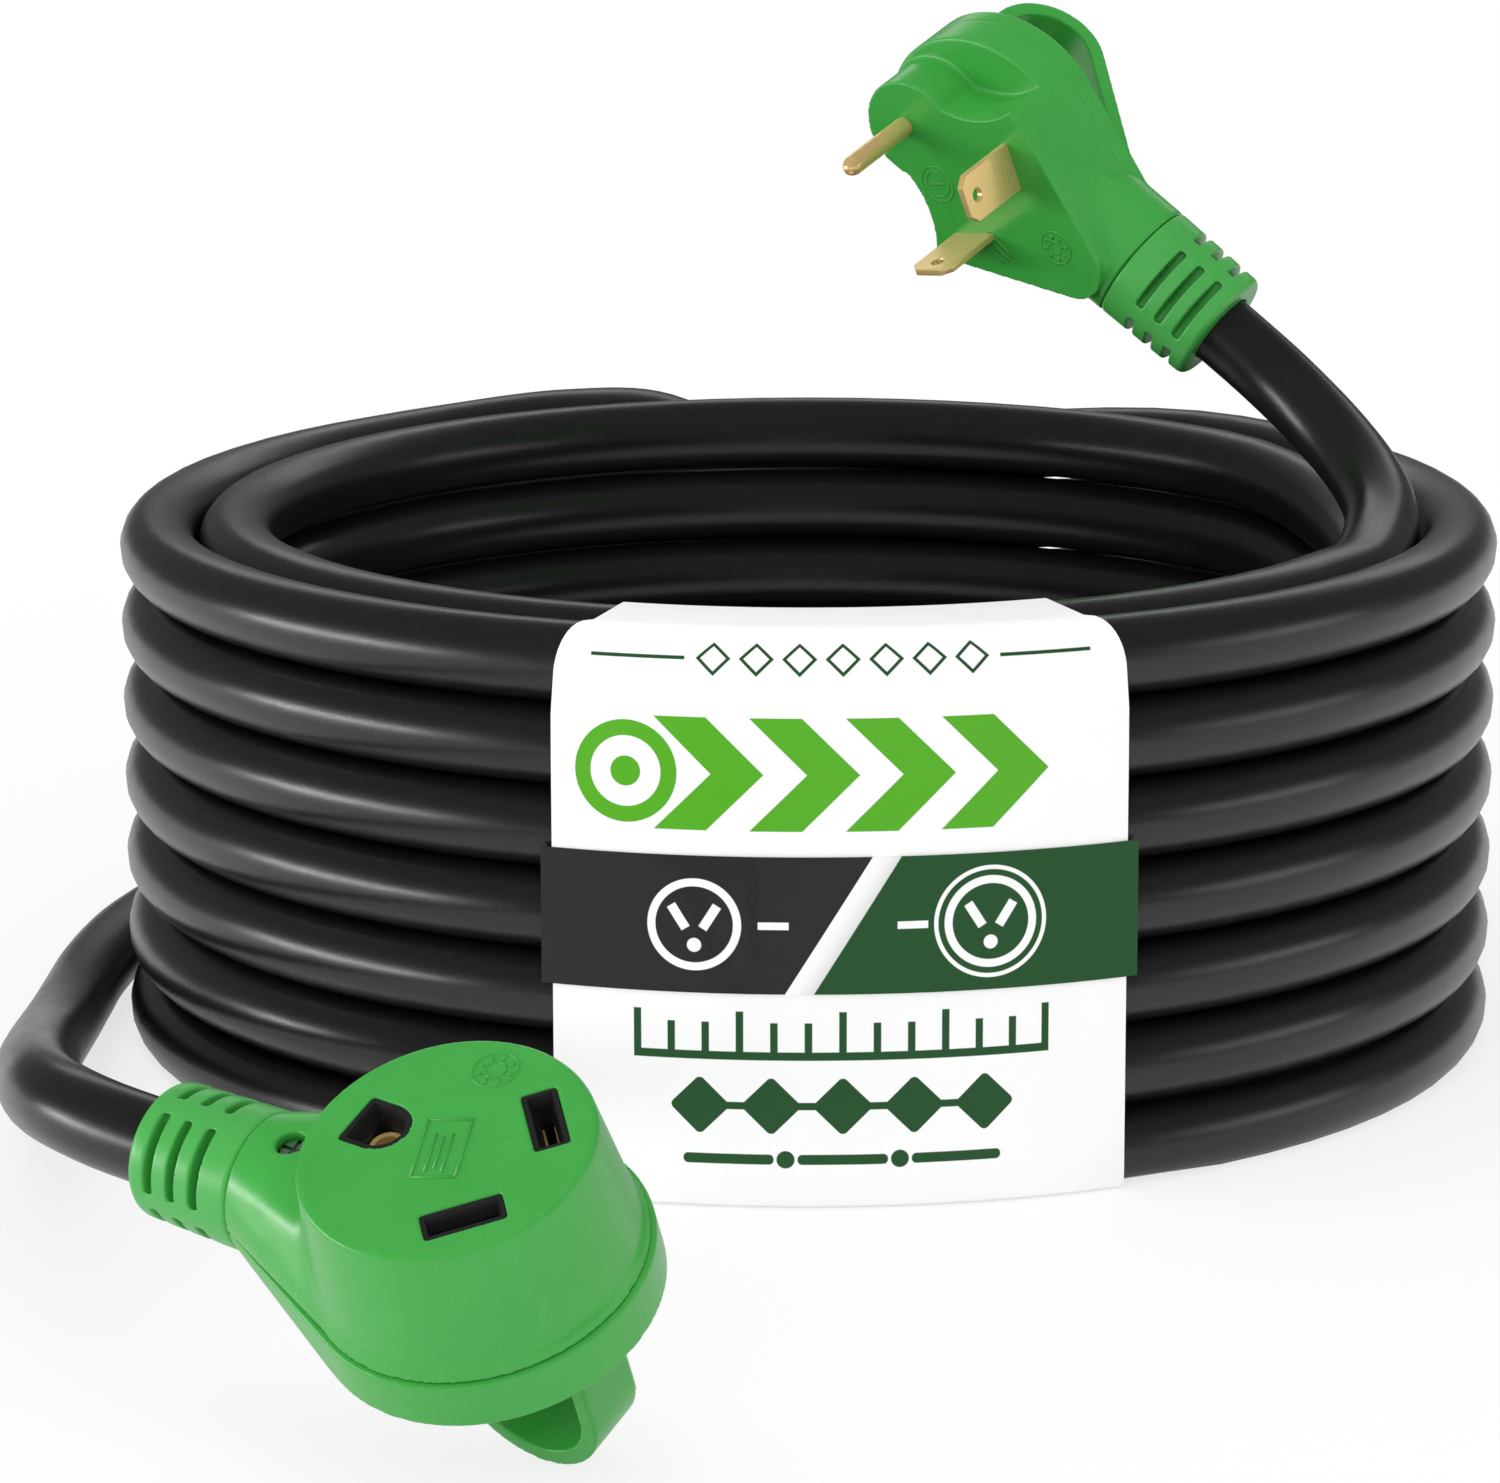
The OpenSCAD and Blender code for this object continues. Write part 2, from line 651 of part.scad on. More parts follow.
// Plan of the ground opening: round towards the face centre, flat towards the neck
module ground_plan(less, h) {
    r = ground_half - less;
    cylinder(h = h, r = r);
    translate([0, -r, 0]) cube([ground_flat - less, 2 * r, h]);
}

module at_window(side) {
    translate([-blade_out, side * blade_out, 0]) rotate(-side * 45) children();
}

// The connector's terminals are the plug's, seen from behind the mating face
module mirrored() {
    mirror([1, 0, 0]) children();
}

// Screw in the connector's neck, over the cord clamp
neck_screw_x = conn_neck_x - 9;
neck_screw_z = 12.2 - conn_neck_z;
neck_head_r = 2.5;
neck_head_h = 1.8;

// The neck screw's recess and hole
module neck_screw_room() {
    translate([neck_screw_x, 0, neck_screw_z - neck_head_h]) cylinder(h = 12, r = neck_head_r + 0.2);
    translate([neck_screw_x, 0, neck_screw_z - 8]) cylinder(h = 12, r = screw_hole_r);
}

module connector_housing() {
    color(body_green) put_conn() difference() {
        union() {
            translate([0, 0, -conn_body_h]) cylinder(h = conn_body_h, r1 = conn_skirt_r, r2 = conn_face_r);
            intersection() {
                along_x(20, conn_neck_x, conn_neck_z) circle(conn_neck_r);
                half(conn_neck_z, 1);
            }
            translate([0, 0, -conn_body_h])
                drop(conn_skirt_r, conn_tail_r, conn_tail_x, 2.5);
        }
        past_neck(conn_neck_x);
        // Block's pocket, and the wiring chamber behind it
        translate([0, 0, -conn_deck]) cylinder(h = conn_deck - wall, r = block_r + fit_gap);
        difference() {
            translate([0, 0, -conn_body_h - 1])
                cylinder(h = conn_body_h + 1 - conn_deck, r = conn_face_r - wall);
            at_screws(conn_screw_out) translate([0, 0, -conn_body_h - 2]) cylinder(h = 11, r = post_r);
        }
        translate([10, -9, -conn_body_h - 1])
            cube([conn_neck_x - 12.4 - 10, 18, conn_body_h + 1 - conn_deck]);
        neck_bore(conn_neck_x, conn_neck_r, conn_neck_z);
        at_screws(conn_screw_out) translate([0, 0, -conn_body_h - 1])
            cylinder(h = screw_bite + 7, r = screw_hole_r);
        neck_screw_room();
        // Windows for the contact block's pads
        for (s = [-1, 1]) at_window(s)
            translate([-window_w / 2, -window_l / 2, -wall - 1]) cube([window_w, window_l, wall + 2]);
        translate([ground_out, 0, -wall - 1]) ground_plan(0, wall + 2);
    }
}

module connector_rear_cover() {
    color(body_green) put_conn() difference() {
        union() {
            translate([0, 0, -conn_depth])
                drop(conn_cover_r, conn_tail_r, conn_tail_x, conn_cover_h - 0.05);
            intersection() {
                along_x(conn_neck_x - 20 + 0.05, conn_neck_x, conn_neck_z) circle(conn_neck_r);
                half(conn_neck_z + 0.05, -1);
            }
            pull_loop(conn_depth, conn_loop_h, 16, -6.5, 36);
        }
        difference() {
            translate([0, 0, -conn_depth + wall])
                drop(conn_face_r - wall, conn_neck_r - 5.4, conn_neck_x - 18.5, conn_cover_h);
            at_screws(conn_screw_out) translate([0, 0, -conn_depth])
                cylinder(h = conn_cover_h + wall + 1, r = cover_head_r + 1.2);
        }
        past_neck(conn_neck_x);
        neck_bore(conn_neck_x, conn_neck_r, conn_neck_z);
        at_screws(conn_screw_out) {
            translate([0, 0, -conn_depth - 1]) cylinder(h = conn_cover_h + 2, r = screw_hole_r);
            translate([0, 0, -conn_depth - 1]) cylinder(h = cover_head_h + 2, r = cover_head_r + 0.2);
        }
    }
}

clip_h = 14;
clip_leaf = 0.9;
clip_open = blade_t + 0.2;

module connector_contact_block() {
    pad_top = 0.4;
    ground_deep = 5;
    sleeve_r = pin_d / 2 + pin_play + 1;
    color(inner_black) put_conn() difference() {
        union() {
            translate([0, 0, -conn_deck]) cylinder(h = conn_deck - wall - fit_gap, r = block_r);
            for (s = [-1, 1]) at_window(s)
                translate([0.1 - window_w / 2, 0.1 - window_l / 2, -wall - 1])
                    cube([window_w - 0.2, window_l - 0.2, wall + 1 - pad_top]);
            translate([ground_out, 0, -wall - 1]) ground_plan(0.1, wall + 1 - pad_top);
        }
        for (s = [-1, 1]) at_window(s) {
            translate([-2.3, -blade_w / 2 - 0.9, -2.4]) cube([4.6, blade_w + 1.8, 4]);
            translate([-blade_t / 2 - 0.5, -blade_w / 2 - 0.5, -conn_deck])
                cube([blade_t + 1, blade_w + 1, conn_deck]);
            translate([-2.3, -blade_w / 2 - 0.4, -conn_deck - 1])
                cube([4.6, blade_w + 0.8, clip_h + 1.4]);
        }
        translate([ground_out, 0, -ground_deep]) ground_plan(1.1, ground_deep + 1);
        translate([ground_out, 0, -conn_deck - 1]) cylinder(h = conn_deck + 1, r = sleeve_r + 0.1);
        mirrored() at_terminals() translate([0, 0, -conn_deck - 1]) cylinder(h = 7, r = term_d / 2 + 0.1);
    }
}

module clip(side) {
    color(brass_gold) put_conn() mirrored() {
        at_blade(side) {
            for (s = [-1, 1]) translate([
                s * (clip_open + clip_leaf) / 2 - clip_leaf / 2, -blade_w / 2, -conn_deck - 0.1
            ]) cube([clip_leaf, blade_w, clip_h + 0.1]);
            blade_tab(conn_deck);
        }
    }
}

module connector_line_contact() {
    clip(1);
}

module connector_neutral_contact() {
    clip(-1);
}

module connector_ground_contact() {
    bore_r = pin_d / 2 + pin_play;
    sleeve_l = conn_deck - 5.2;
    color(brass_gold) put_conn() {
        difference() {
            translate([ground_out, 0, -conn_deck - 0.1]) cylinder(h = sleeve_l + 0.1, r = bore_r + 1);
            translate([ground_out, 0, -conn_deck]) cylinder(h = sleeve_l + 1, r = bore_r);
        }
        mirrored() ground_tab(conn_deck);
    }
}

module connector_terminal_screws() {
    color(screw_steel) put_conn() mirrored() terminal_screws(conn_deck);
}

module connector_cover_screws() {
    color(screw_steel) put_conn() {
        cover_screws(conn_screw_out, conn_depth, conn_body_h, screw_bite + 6);
        translate([neck_screw_x, 0, neck_screw_z - neck_head_h]) rotate([180, 0, 0])
            screw(screw_d / 2, 1.7, neck_head_r, neck_head_h);
    }
}

module connector_cord_clamp() {
    color(inner_black) put_conn() difference() {
        cord_clamp(conn_neck_x, conn_neck_r, conn_neck_z);
        neck_screw_room();
    }
}

module connector_strain_relief() {
    color(body_green) put_conn() strain_relief(conn_neck_x, conn_neck_r, conn_neck_z, conn_boot_l);
}

module connector_line_wire() {
    color("black") put_conn()
        conductor(conn_deck, [-blade_screw, blade_screw], lane_y, conn_jacket_x, conn_lane_z);
}

module connector_neutral_wire() {
    color("white") put_conn()
        conductor(conn_deck, [-blade_screw, -blade_screw], -lane_y, conn_jacket_x, conn_lane_z);
}

module connector_ground_wire() {
    color("green") put_conn()
        conductor(conn_deck, [-ground_screw[0], 0], 0, conn_jacket_x, conn_lane_z);
}

// ---- Coil, tails and label ----

module put_coil() {
    translate(-model_mid) children();
}

label_mid = 270 + label_turn;
top_z = low_z + pitch * (coil_levels - 1);
card_gap = 0.2;
card_r = coil_r + cord_d / 2 + card_gap + card_t;
mid_r = coil_r - pitch;
inner_r = coil_r - 3 * pitch - cord_d / 2 - card_t - card_gap;

// Sector of a turned profile, centred on the label
module label_sector(half_angle) {
    rotate(label_mid - half_angle) rotate_extrude(angle = 2 * half_angle, $fn = 180) children();
}

// Section of the sleeve's outside, drawn in by less to give its inside
module sleeve_section(less) {
    bend = cord_d / 2 + card_gap + card_t - less;
    out = card_r - less;
    in_r = mid_r - cord_d / 2 - card_gap - card_t + less;
    shelf = low_z + pitch + bend;
    foot_r = inner_r + less;
    translate([coil_r, top_z]) circle(bend);
    translate([mid_r, top_z]) circle(bend);
    polygon([
        [out, less], [out, top_z], [coil_r, top_z + bend], [mid_r, top_z + bend], [in_r, top_z],
        [in_r, shelf + 2], [foot_r + bend, shelf], [foot_r, shelf - bend], [foot_r, less]
    ]);
}

module label_sleeve() {
    color(card_white) put_coil() label_sector(label_half) difference() {
        sleeve_section(0);
        sleeve_section(card_t);
    }
}

module label_band() {
    belt_t = 0.4;
    color(belt_dark) put_coil() label_sector(label_half + belt_over)
        translate([card_r + 0.05, belt_z]) square([belt_t, belt_h]);
}

// Height under which the coil is cut flat: the floor, or the card where the coil stands on it
function foot_z(p) = let (turn = atan2(p[1], p[0]) - (label_mid - 360))
    abs(turn) < label_half + ring_step ? card_t + card_gap : 0;
function cut_flat(p) = [p[0], p[1], max(p[2], foot_z(p))];

module cord_coil() {
    last = len(coil_path) - 1;
    rings = [
        for (i = [0:last])
            let (t = i == 0 ? -coil_start_dir : i == last ? coil_end_dir : heading(coil_path, i))
            [for (p = ring(coil_path[i], t, coil_sides, cord_d / 2)) cut_flat(p)]
    ];
    color(jacket_black) put_coil() tube_skin(rings, coil_sides);
}

module cord_plug_tail() {
    color(jacket_black) put_coil()
        tube(plug_route, tail_sides, cord_d / 2, unit(plug_route[1] - plug_route[0]), -coil_start_dir);
}

module cord_connector_tail() {
    last = len(conn_route) - 1;
    color(jacket_black) put_coil()
        tube(conn_route, tail_sides, cord_d / 2, coil_end_dir,
            unit(conn_route[last] - conn_route[last - 1]));
}

plug_housing();
plug_rear_cover();
plug_contact_carrier();
plug_line_blade();
plug_neutral_blade();
plug_ground_pin();
plug_terminal_screws();
plug_cover_screws();
plug_cord_clamp();
plug_strain_relief();
plug_line_wire();
plug_neutral_wire();
plug_ground_wire();
connector_housing();
connector_rear_cover();
connector_contact_block();
connector_line_contact();
connector_neutral_contact();
connector_ground_contact();
connector_terminal_screws();
connector_cover_screws();
connector_cord_clamp();
connector_strain_relief();
connector_line_wire();
connector_neutral_wire();
connector_ground_wire();
cord_coil();
cord_plug_tail();
cord_connector_tail();
label_sleeve();
label_band();
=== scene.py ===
"""Shore power cord: a wound three-wire cord with a plug, a connector and a card sleeve round the coil."""

import json
import math

import bmesh
import bpy
from bpy.props import FloatProperty, FloatVectorProperty, IntProperty, PointerProperty
from mathutils import Euler, Matrix, Vector


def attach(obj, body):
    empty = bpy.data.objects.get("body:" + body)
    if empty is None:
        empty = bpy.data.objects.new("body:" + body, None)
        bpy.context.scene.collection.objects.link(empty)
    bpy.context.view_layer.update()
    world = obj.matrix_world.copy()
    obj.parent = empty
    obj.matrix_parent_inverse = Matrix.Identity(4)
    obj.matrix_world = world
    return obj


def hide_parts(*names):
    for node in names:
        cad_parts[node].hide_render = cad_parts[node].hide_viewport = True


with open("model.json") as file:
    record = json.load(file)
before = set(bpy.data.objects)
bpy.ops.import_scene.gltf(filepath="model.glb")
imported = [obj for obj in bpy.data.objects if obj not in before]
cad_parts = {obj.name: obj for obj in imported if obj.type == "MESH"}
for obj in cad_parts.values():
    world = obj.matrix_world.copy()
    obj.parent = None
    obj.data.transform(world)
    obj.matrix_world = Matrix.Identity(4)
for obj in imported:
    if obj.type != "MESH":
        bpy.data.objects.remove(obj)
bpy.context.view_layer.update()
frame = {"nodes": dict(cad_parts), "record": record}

bl_info = {
    "name": "Shore Power Cord",
    "version": (1, 0, 0),
    "blender": (4, 5, 0),
    "location": "View3D > Sidebar > Shore Cord",
    "description": "Builds a wound shore power cord with its plug, connector and card sleeve",
    "category": "Add Mesh",
}

MM = 0.001
# The frame's origin, in millimetres from the coil's axis
MODEL_MID = Vector((-9.5, -12.2, 0.0))
BODY = "root"

# ---- Sizes shared with the solids, in millimetres ----

CORD_D = 17.0
CORD_R = CORD_D / 2
TURN_PITCH = 17.8
COIL_R = 148.8
COIL_LEVELS = 7
LOW_Z = 6.8
COIL_FIRST, COIL_LAST = 30, 5985

PLUG_AT, PLUG_TURN = (33.5, 50.2, 191.2), (117, 36.5, -23.5)
CONN_AT, CONN_TURN = (-65, -342, 68), (-29, -6.5, 146)

# A face is a round of radius r with a smaller tail. The neck's axis runs along x, neck_z behind the face,
# and loop gives the pull handle's rise, its bend's radius, the bend's middle and the strap's foot along x.
HEADS = {
    "plug": {
        "r": 27.0, "tail_r": 8.8, "tail_x": 37.0, "body_h": 22.4, "cover_h": 4.6,
        "neck_x": 47.3, "neck_r": 14.6, "neck_z": 16.5, "boot_l": 24.7, "deck": 15.0,
        "screw_out": 21.5, "loop": (30.2, 15.0, -6.0, 36.0),
    },
    "connector": {
        "r": 27.9, "tail_r": 13.0, "tail_x": 43.8, "body_h": 27.9, "cover_h": 10.4,
        "neck_x": 48.8, "neck_r": 13.8, "neck_z": 27.9, "boot_l": 24.2, "deck": 22.0,
        "screw_out": 24.6, "loop": (35.2, 16.0, -6.5, 36.0),
    },
}
SKIRT_R, COVER_R = 31.2, 32.7
NOSE_R, NOTCH_R, NOTCH_OUT, NOTCH_H, NOTCH_X = 12.8, 22.9, 34.0, 12.6, -15.1
BLADE_OUT, BLADE_W, BLADE_T, BLADE_L = 13.1, 12.0, 1.6, 18.5
GROUND_OUT, PIN_R, PIN_L = 14.8, 2.4, 23.0
WALL, FIT = 2.6, 0.2
STRAP_T, STRAP_W = 3.5, 13.6
JACKET_IN = 12.3
CORNER_Z, CORNER_CUT = 101.0, 6.5
MARK_RISE, MARK_SINK = 0.22, -0.4
SCREW_HEAD_R, NECK_WALL, SEAM_IN, MOULD_VOXEL = 3.2, 2.2, 0.14, 0.46
BLOCK_R, BLOCK_ROOM_R = 21.9, 22.1

LABEL_HALF, LABEL_TURN, CARD_T, CARD_GAP = 22.4, 2.6, 0.5, 0.2
BELT_Z, BELT_H, BELT_OVER, BELT_T, BELT_GAP = 46.5, 29.3, 0.85, 0.4, 0.05
CARD_BEND = CORD_R + CARD_GAP + CARD_T
TOP_Z = LOW_Z + TURN_PITCH * (COIL_LEVELS - 1)
CARD_R = COIL_R + CORD_R + CARD_GAP + CARD_T
MID_R = COIL_R - TURN_PITCH
INNER_R = COIL_R - 3 * TURN_PITCH - CORD_R - CARD_T - CARD_GAP
LABEL_MID = math.radians(270 + LABEL_TURN)

# ---- Picture: the camera, in millimetres from the coil's axis, its shift in pixels, and the light ----

CAMERA_AT, CAMERA_DIP, LENS_MM = (0, -1441.694, 394.547), 0.228686, 153.41
FRAME_PX, SHIFT_PX = 1500, (-58.6, 22.0)
SKY, SKY_IN_GLOSS, FLOOR_IN_GLOSS = 0.66, 0.16, 0.6
FLOOR_RADIUS, FLOOR_DROP = 9.0, 0.0003
# How far from the middle the floor starts to turn all white, over what distance, in metres, and how white
# it is before that
WHITE_FROM, WHITE_OVER, WHITE_SHARE = 0.22, 0.4, 0.74
WHITE = (1.0, 1.0, 1.0, 1.0)


def head_place(at, turn):
    """Takes a head's own millimetres to the model's metres."""
    angles = Euler([math.radians(a) for a in turn], "XYZ")
    spot = Matrix.Translation((Vector(at) - MODEL_MID) * MM)
    return spot @ angles.to_matrix().to_4x4() @ Matrix.Scale(MM, 4)


PLACES = {"plug": head_place(PLUG_AT, PLUG_TURN), "connector": head_place(CONN_AT, CONN_TURN)}
COIL_PLACE = Matrix.Scale(MM, 4) @ Matrix.Translation(-MODEL_MID)


# ---- The cord's route, in millimetres from the coil's axis ----

# Each move of the winding: angle at its start, angle it takes, columns outwards, levels upwards
MOVES = (
    [(320 + 360 * k, 60, 0, -1) for k in range(5)]
    + [(2070, 60, -1, 0), (2370, 60, -1, 0), (2670, 60, 0, -1)]
    + [(2985, 60, 1, 0), (3255, 60, 1, 0), (3510, 70, 1, 0)]
    + [(3845 + 360 * k, 70, 0, 1) for k in range(6)]
)

PLUG_BENDS = [(109, 33.5, 144), (120, 23, 134), (127.5, 8, 126), (130.5, -10, 120), (128, -29, 115.9)]
CONN_BENDS = [
    (-60, 144.5, 113.4), (-37, 164, 109), (-13, 181, 93), (14, 194, 72), (43, 203, 50),
    (72, 207, 30), (98, 209.5, 15.5), (124, 222, 9), (142, 243, 8.5), (149, 269, 8.5),
    (144, 296, 8.5), (127, 318, 8.5), (102, 331, 8.5), (74, 334, 8.5), (46, 330, 8.5),
    (22, 320.5, 8.5), (1, 307.5, 8.5), (-19, 291.5, 8.5), (-38, 273, 8.5), (-56.5, 252, 8.5),
    (-75, 229, 8.5), (-93, 204, 8.5), (-109, 178, 8.5), (-123.3, 151, 8.5), (-135.4, 123, 8.5),
    (-146, 93, 8.5), (-155.2, 63, 8.5), (-163.2, 33, 8.5), (-167, 4, 8.5), (-168, -25, 9.3),
    (-167.6, -53, 12), (-166.6, -80, 16), (-165, -106, 20.8), (-163, -131, 26),
    (-160.7, -155, 31.3), (-158.2, -178, 36.6), (-155.6, -200, 41.8), (-153, -221, 46.6),
    (-150.2, -239, 50.2), (-146.6, -255.5, 52.8), (-140.8, -269, 54), (-132.6, -279.2, 53.6),
]


def ease(t):
    """0 to 1 with a soft start and end."""
    u = min(1.0, max(0.0, t))
    return u * u * (3 - 2 * u)


def coil_point(turned):
    """Middle of the wound cord after it has turned by so many degrees."""
    column = sum(m[2] * ease((turned - m[0]) / m[1]) for m in MOVES)
    level = sum(m[3] * ease((turned - m[0]) / m[1]) for m in MOVES)
    r = COIL_R + TURN_PITCH * (column - 1)
    a = math.radians(turned)
    return Vector((r * math.cos(a), -r * math.sin(a), LOW_Z + TURN_PITCH * (level + COIL_LEVELS - 1)))


def on_neck(which, x):
    """Point of a head's cord axis, in millimetres from the coil's axis."""
    return PLACES[which] @ Vector((x, 0, -HEADS[which]["neck_z"])) / MM + MODEL_MID


def through(points, step):
    """Points every step along a smooth curve through all but the first and last of the points."""
    out = []
    for i in range(1, len(points) - 2):
        p0, p1, p2, p3 = points[i - 1 : i + 3]
        d0, d1, d2 = (max(1e-6, (b - a).length) ** 0.5 for a, b in ((p0, p1), (p1, p2), (p2, p3)))
        m1 = (p2 - p1) / d1 - (p2 - p0) / (d0 + d1) + (p1 - p0) / d0
        m2 = (p3 - p2) / d2 - (p3 - p1) / (d1 + d2) + (p2 - p1) / d1
        m1, m2 = m1 * d1, m2 * d1
        n = max(1, round((p2 - p1).length / step))
        for k in range(n):
            t = k / n
            out.append(
                p1 * (2 * t**3 - 3 * t**2 + 1)
                + m1 * (t**3 - 2 * t**2 + t)
                + p2 * (3 * t**2 - 2 * t**3)
                + m2 * (t**3 - t**2)
            )
    out.append(points[-2].copy())
    return out


def straight(which, outwards):
    """The cord's straight run through a head's neck and boot."""
    head = HEADS[which]
    start, end = head["neck_x"] - JACKET_IN, head["neck_x"] + head["boot_l"]
    n = 6
    spots = [on_neck(which, start + (end - start) * k / n) for k in range(n + 1)]
    return spots if outwards else spots[::-1]


def cord_route():
    """The whole cord's middle line, from the plug's neck to the connector's."""
    turns = [coil_point(a) for a in range(COIL_FIRST, COIL_LAST + 1, 5)]

    def flat(v):
        return Vector((v.x, v.y, 0)).normalized()

    lead_in = turns[0] + CORD_D * flat(coil_point(COIL_FIRST) - coil_point(COIL_FIRST + 1))
    lead_out = turns[-1] + CORD_D * flat(coil_point(COIL_LAST) - coil_point(COIL_LAST - 1))
    first = straight("plug", True)
    last = straight("connector", False)
    before = first[0] - (first[1] - first[0])
    after = last[-1] + (last[-1] - last[-2])
    step = 4
    plug_bends = [Vector(p) for p in PLUG_BENDS]
    conn_bends = [Vector(p) for p in CONN_BENDS]
    down = through([before, *first, *plug_bends, lead_in, turns[0], turns[1]], step)
    away = through([turns[-2], turns[-1], lead_out, *conn_bends, *last, after], step)
    return down[:-1] + turns[:-1] + away


# ---- Mesh tools: pieces are modelled in millimetres and placed at the end ----


def circle(r, n, cx=0.0, cy=0.0, start=0.0, sweep=2 * math.pi, closed=True):
    """Points of a circle or an arc. An open arc has a point at each end."""
    steps = n if closed else n + 1
    return [
        (cx + r * math.cos(start + sweep * k / n), cy + r * math.sin(start + sweep * k / n))
        for k in range(steps)
    ]


def drop(r, tail_r, tail_x):
    """Outline of a round head whose straight sides run to a smaller round tail."""
    a = math.acos((r - tail_r) / tail_x)
    big = circle(r, 96, 0, 0, a, 2 * math.pi - 2 * a, False)
    small = circle(tail_r, 40, tail_x, 0, -a, 2 * a, False)
    return big + small


def clean(bm):
    """Merges doubled points and turns the faces outwards."""
    bmesh.ops.remove_doubles(bm, verts=bm.verts, dist=1e-4)
    bmesh.ops.recalc_face_normals(bm, faces=bm.faces)
    return bm


def prism(outline, z0, z1):
    """Straight block over an outline."""
    bm = bmesh.new()
    face = bm.faces.new([bm.verts.new((x, y, z0)) for x, y in outline])
    grown = bmesh.ops.extrude_face_region(bm, geom=[face])["geom"]
    top = [v for v in grown if isinstance(v, bmesh.types.BMVert)]
    bmesh.ops.translate(bm, verts=top, vec=(0, 0, z1 - z0))
    return clean(bm)


def rod(x0, x1, z, r0, r1=None):
    """Round bar or cone along x, its axis at depth z."""
    bm = bmesh.new()
    r1 = r0 if r1 is None else r1
    turn = Matrix.Translation(((x0 + x1) / 2, 0, -z)) @ Matrix.Rotation(math.pi / 2, 4, "Y")
    bmesh.ops.create_cone(
        bm, cap_ends=True, segments=96, radius1=r0, radius2=r1, depth=x1 - x0, matrix=turn
    )
    return bm


def post(x, y, z0, z1, r, n=96):
    """Round bar that stands along z."""
    bm = bmesh.new()
    bmesh.ops.create_cone(
        bm, cap_ends=True, segments=n, radius1=r, radius2=r, depth=z1 - z0,
        matrix=Matrix.Translation((x, y, (z0 + z1) / 2)),
    )
    return bm


def block(lo, hi, turn=None):
    """Box between two corners, then turned."""
    bm = bmesh.new()
    lo, hi = Vector(lo), Vector(hi)
    place = Matrix.Translation((lo + hi) / 2) @ Matrix.Diagonal((hi - lo).to_4d())
    place[3][3] = 1
    bmesh.ops.create_cube(bm, size=1, matrix=(turn or Matrix.Identity(4)) @ place)
    return bm


def turned(profile, n=96):
    """Solid of revolution about z of a profile of (radius, height) that starts and ends on the axis."""
    bm = bmesh.new()
    verts = [bm.verts.new((r, 0, z)) for r, z in profile]
    edges = [bm.edges.new(pair) for pair in zip(verts, verts[1:])]
    bmesh.ops.spin(
        bm, geom=verts + edges, cent=(0, 0, 0), axis=(0, 0, 1), angle=2 * math.pi, steps=n, use_merge=True
    )
    return clean(bm)


def moved(bm, matrix):
    bmesh.ops.transform(bm, matrix=matrix, verts=bm.verts)
    return bm


def as_object(bm, name="scratch"):
    mesh = bpy.data.meshes.new(name)
    bm.to_mesh(mesh)
    bm.free()
    obj = bpy.data.objects.new(name, mesh)
    bpy.context.scene.collection.objects.link(obj)
    return obj


def applied(obj):
    """Replaces an object's mesh by what its modifiers make of it."""
    bpy.context.view_layer.update()
    graph = bpy.context.evaluated_depsgraph_get()
    mesh = bpy.data.meshes.new_from_object(obj.evaluated_get(graph))
    old = obj.data
    obj.modifiers.clear()
    obj.data = mesh
    bpy.data.meshes.remove(old)
    return obj


def carved(parts, cuts=()):
    """Joins closed parts and takes the cuts away."""
    obj = as_object(parts[0])
    tools = []
    for operation, shapes in (("UNION", parts[1:]), ("DIFFERENCE", cuts)):
        for bm in shapes:
            tool = as_object(bm)
            tools.append(tool)
            mod = obj.modifiers.new("carve", "BOOLEAN")
            mod.operation = operation
            mod.solver = "EXACT"
            mod.object = tool
    applied(obj)
    for tool in tools:
        mesh = tool.data
        bpy.data.objects.remove(tool)
        bpy.data.meshes.remove(mesh)
    if not obj.data.polygons:
        raise RuntimeError("carving left nothing")
    return obj


def shape_of(obj):
    """Takes an object's mesh back as a bmesh."""
    bm = bmesh.new()
    bm.from_mesh(obj.data)
    bpy.data.objects.remove(obj)
    return bm


def cut_shape(shape, cuts):
    """A shape with the cuts taken away, still as a bmesh."""
    return shape_of(carved([shape], cuts))


def with_shapes(obj, shapes):
    """Adds closed shapes to a piece's mesh as they are."""
    bm = bmesh.new()
    bm.from_mesh(obj.data)
    for shape in shapes:
        scratch = as_object(shape)
        bm.from_mesh(scratch.data)
        bpy.data.objects.remove(scratch)
    bm.to_mesh(obj.data)
    bm.free()
    return obj


def moulded(obj, voxel, passes):
    """Gives a carved shape the small rounds of a moulding."""
    remesh = obj.modifiers.new("mould", "REMESH")
    remesh.mode = "VOXEL"
    remesh.voxel_size = voxel
    smooth = obj.modifiers.new("smooth", "SMOOTH")
    smooth.factor = 0.5
    smooth.iterations = passes
    return applied(obj)


def eased(obj, width, segments, angle):
    """Rounds the sharp edges of a carved shape and keeps its flats."""
    mod = obj.modifiers.new("ease", "BEVEL")
    mod.width = width
    mod.segments = segments
    mod.limit_method = "ANGLE"
    mod.angle_limit = math.radians(angle)
    return applied(obj)


def blended(obj, inside, times):
    """Flows two surfaces together where they meet."""
    bm = bmesh.new()
    bm.from_mesh(obj.data)
    near = [v for v in bm.verts if inside(v.co)]
    for _ in range(times):
        bmesh.ops.smooth_vert(
            bm, verts=near, factor=0.5, use_axis_x=True, use_axis_y=True, use_axis_z=True
        )
    bm.to_mesh(obj.data)
    bm.free()
    return obj


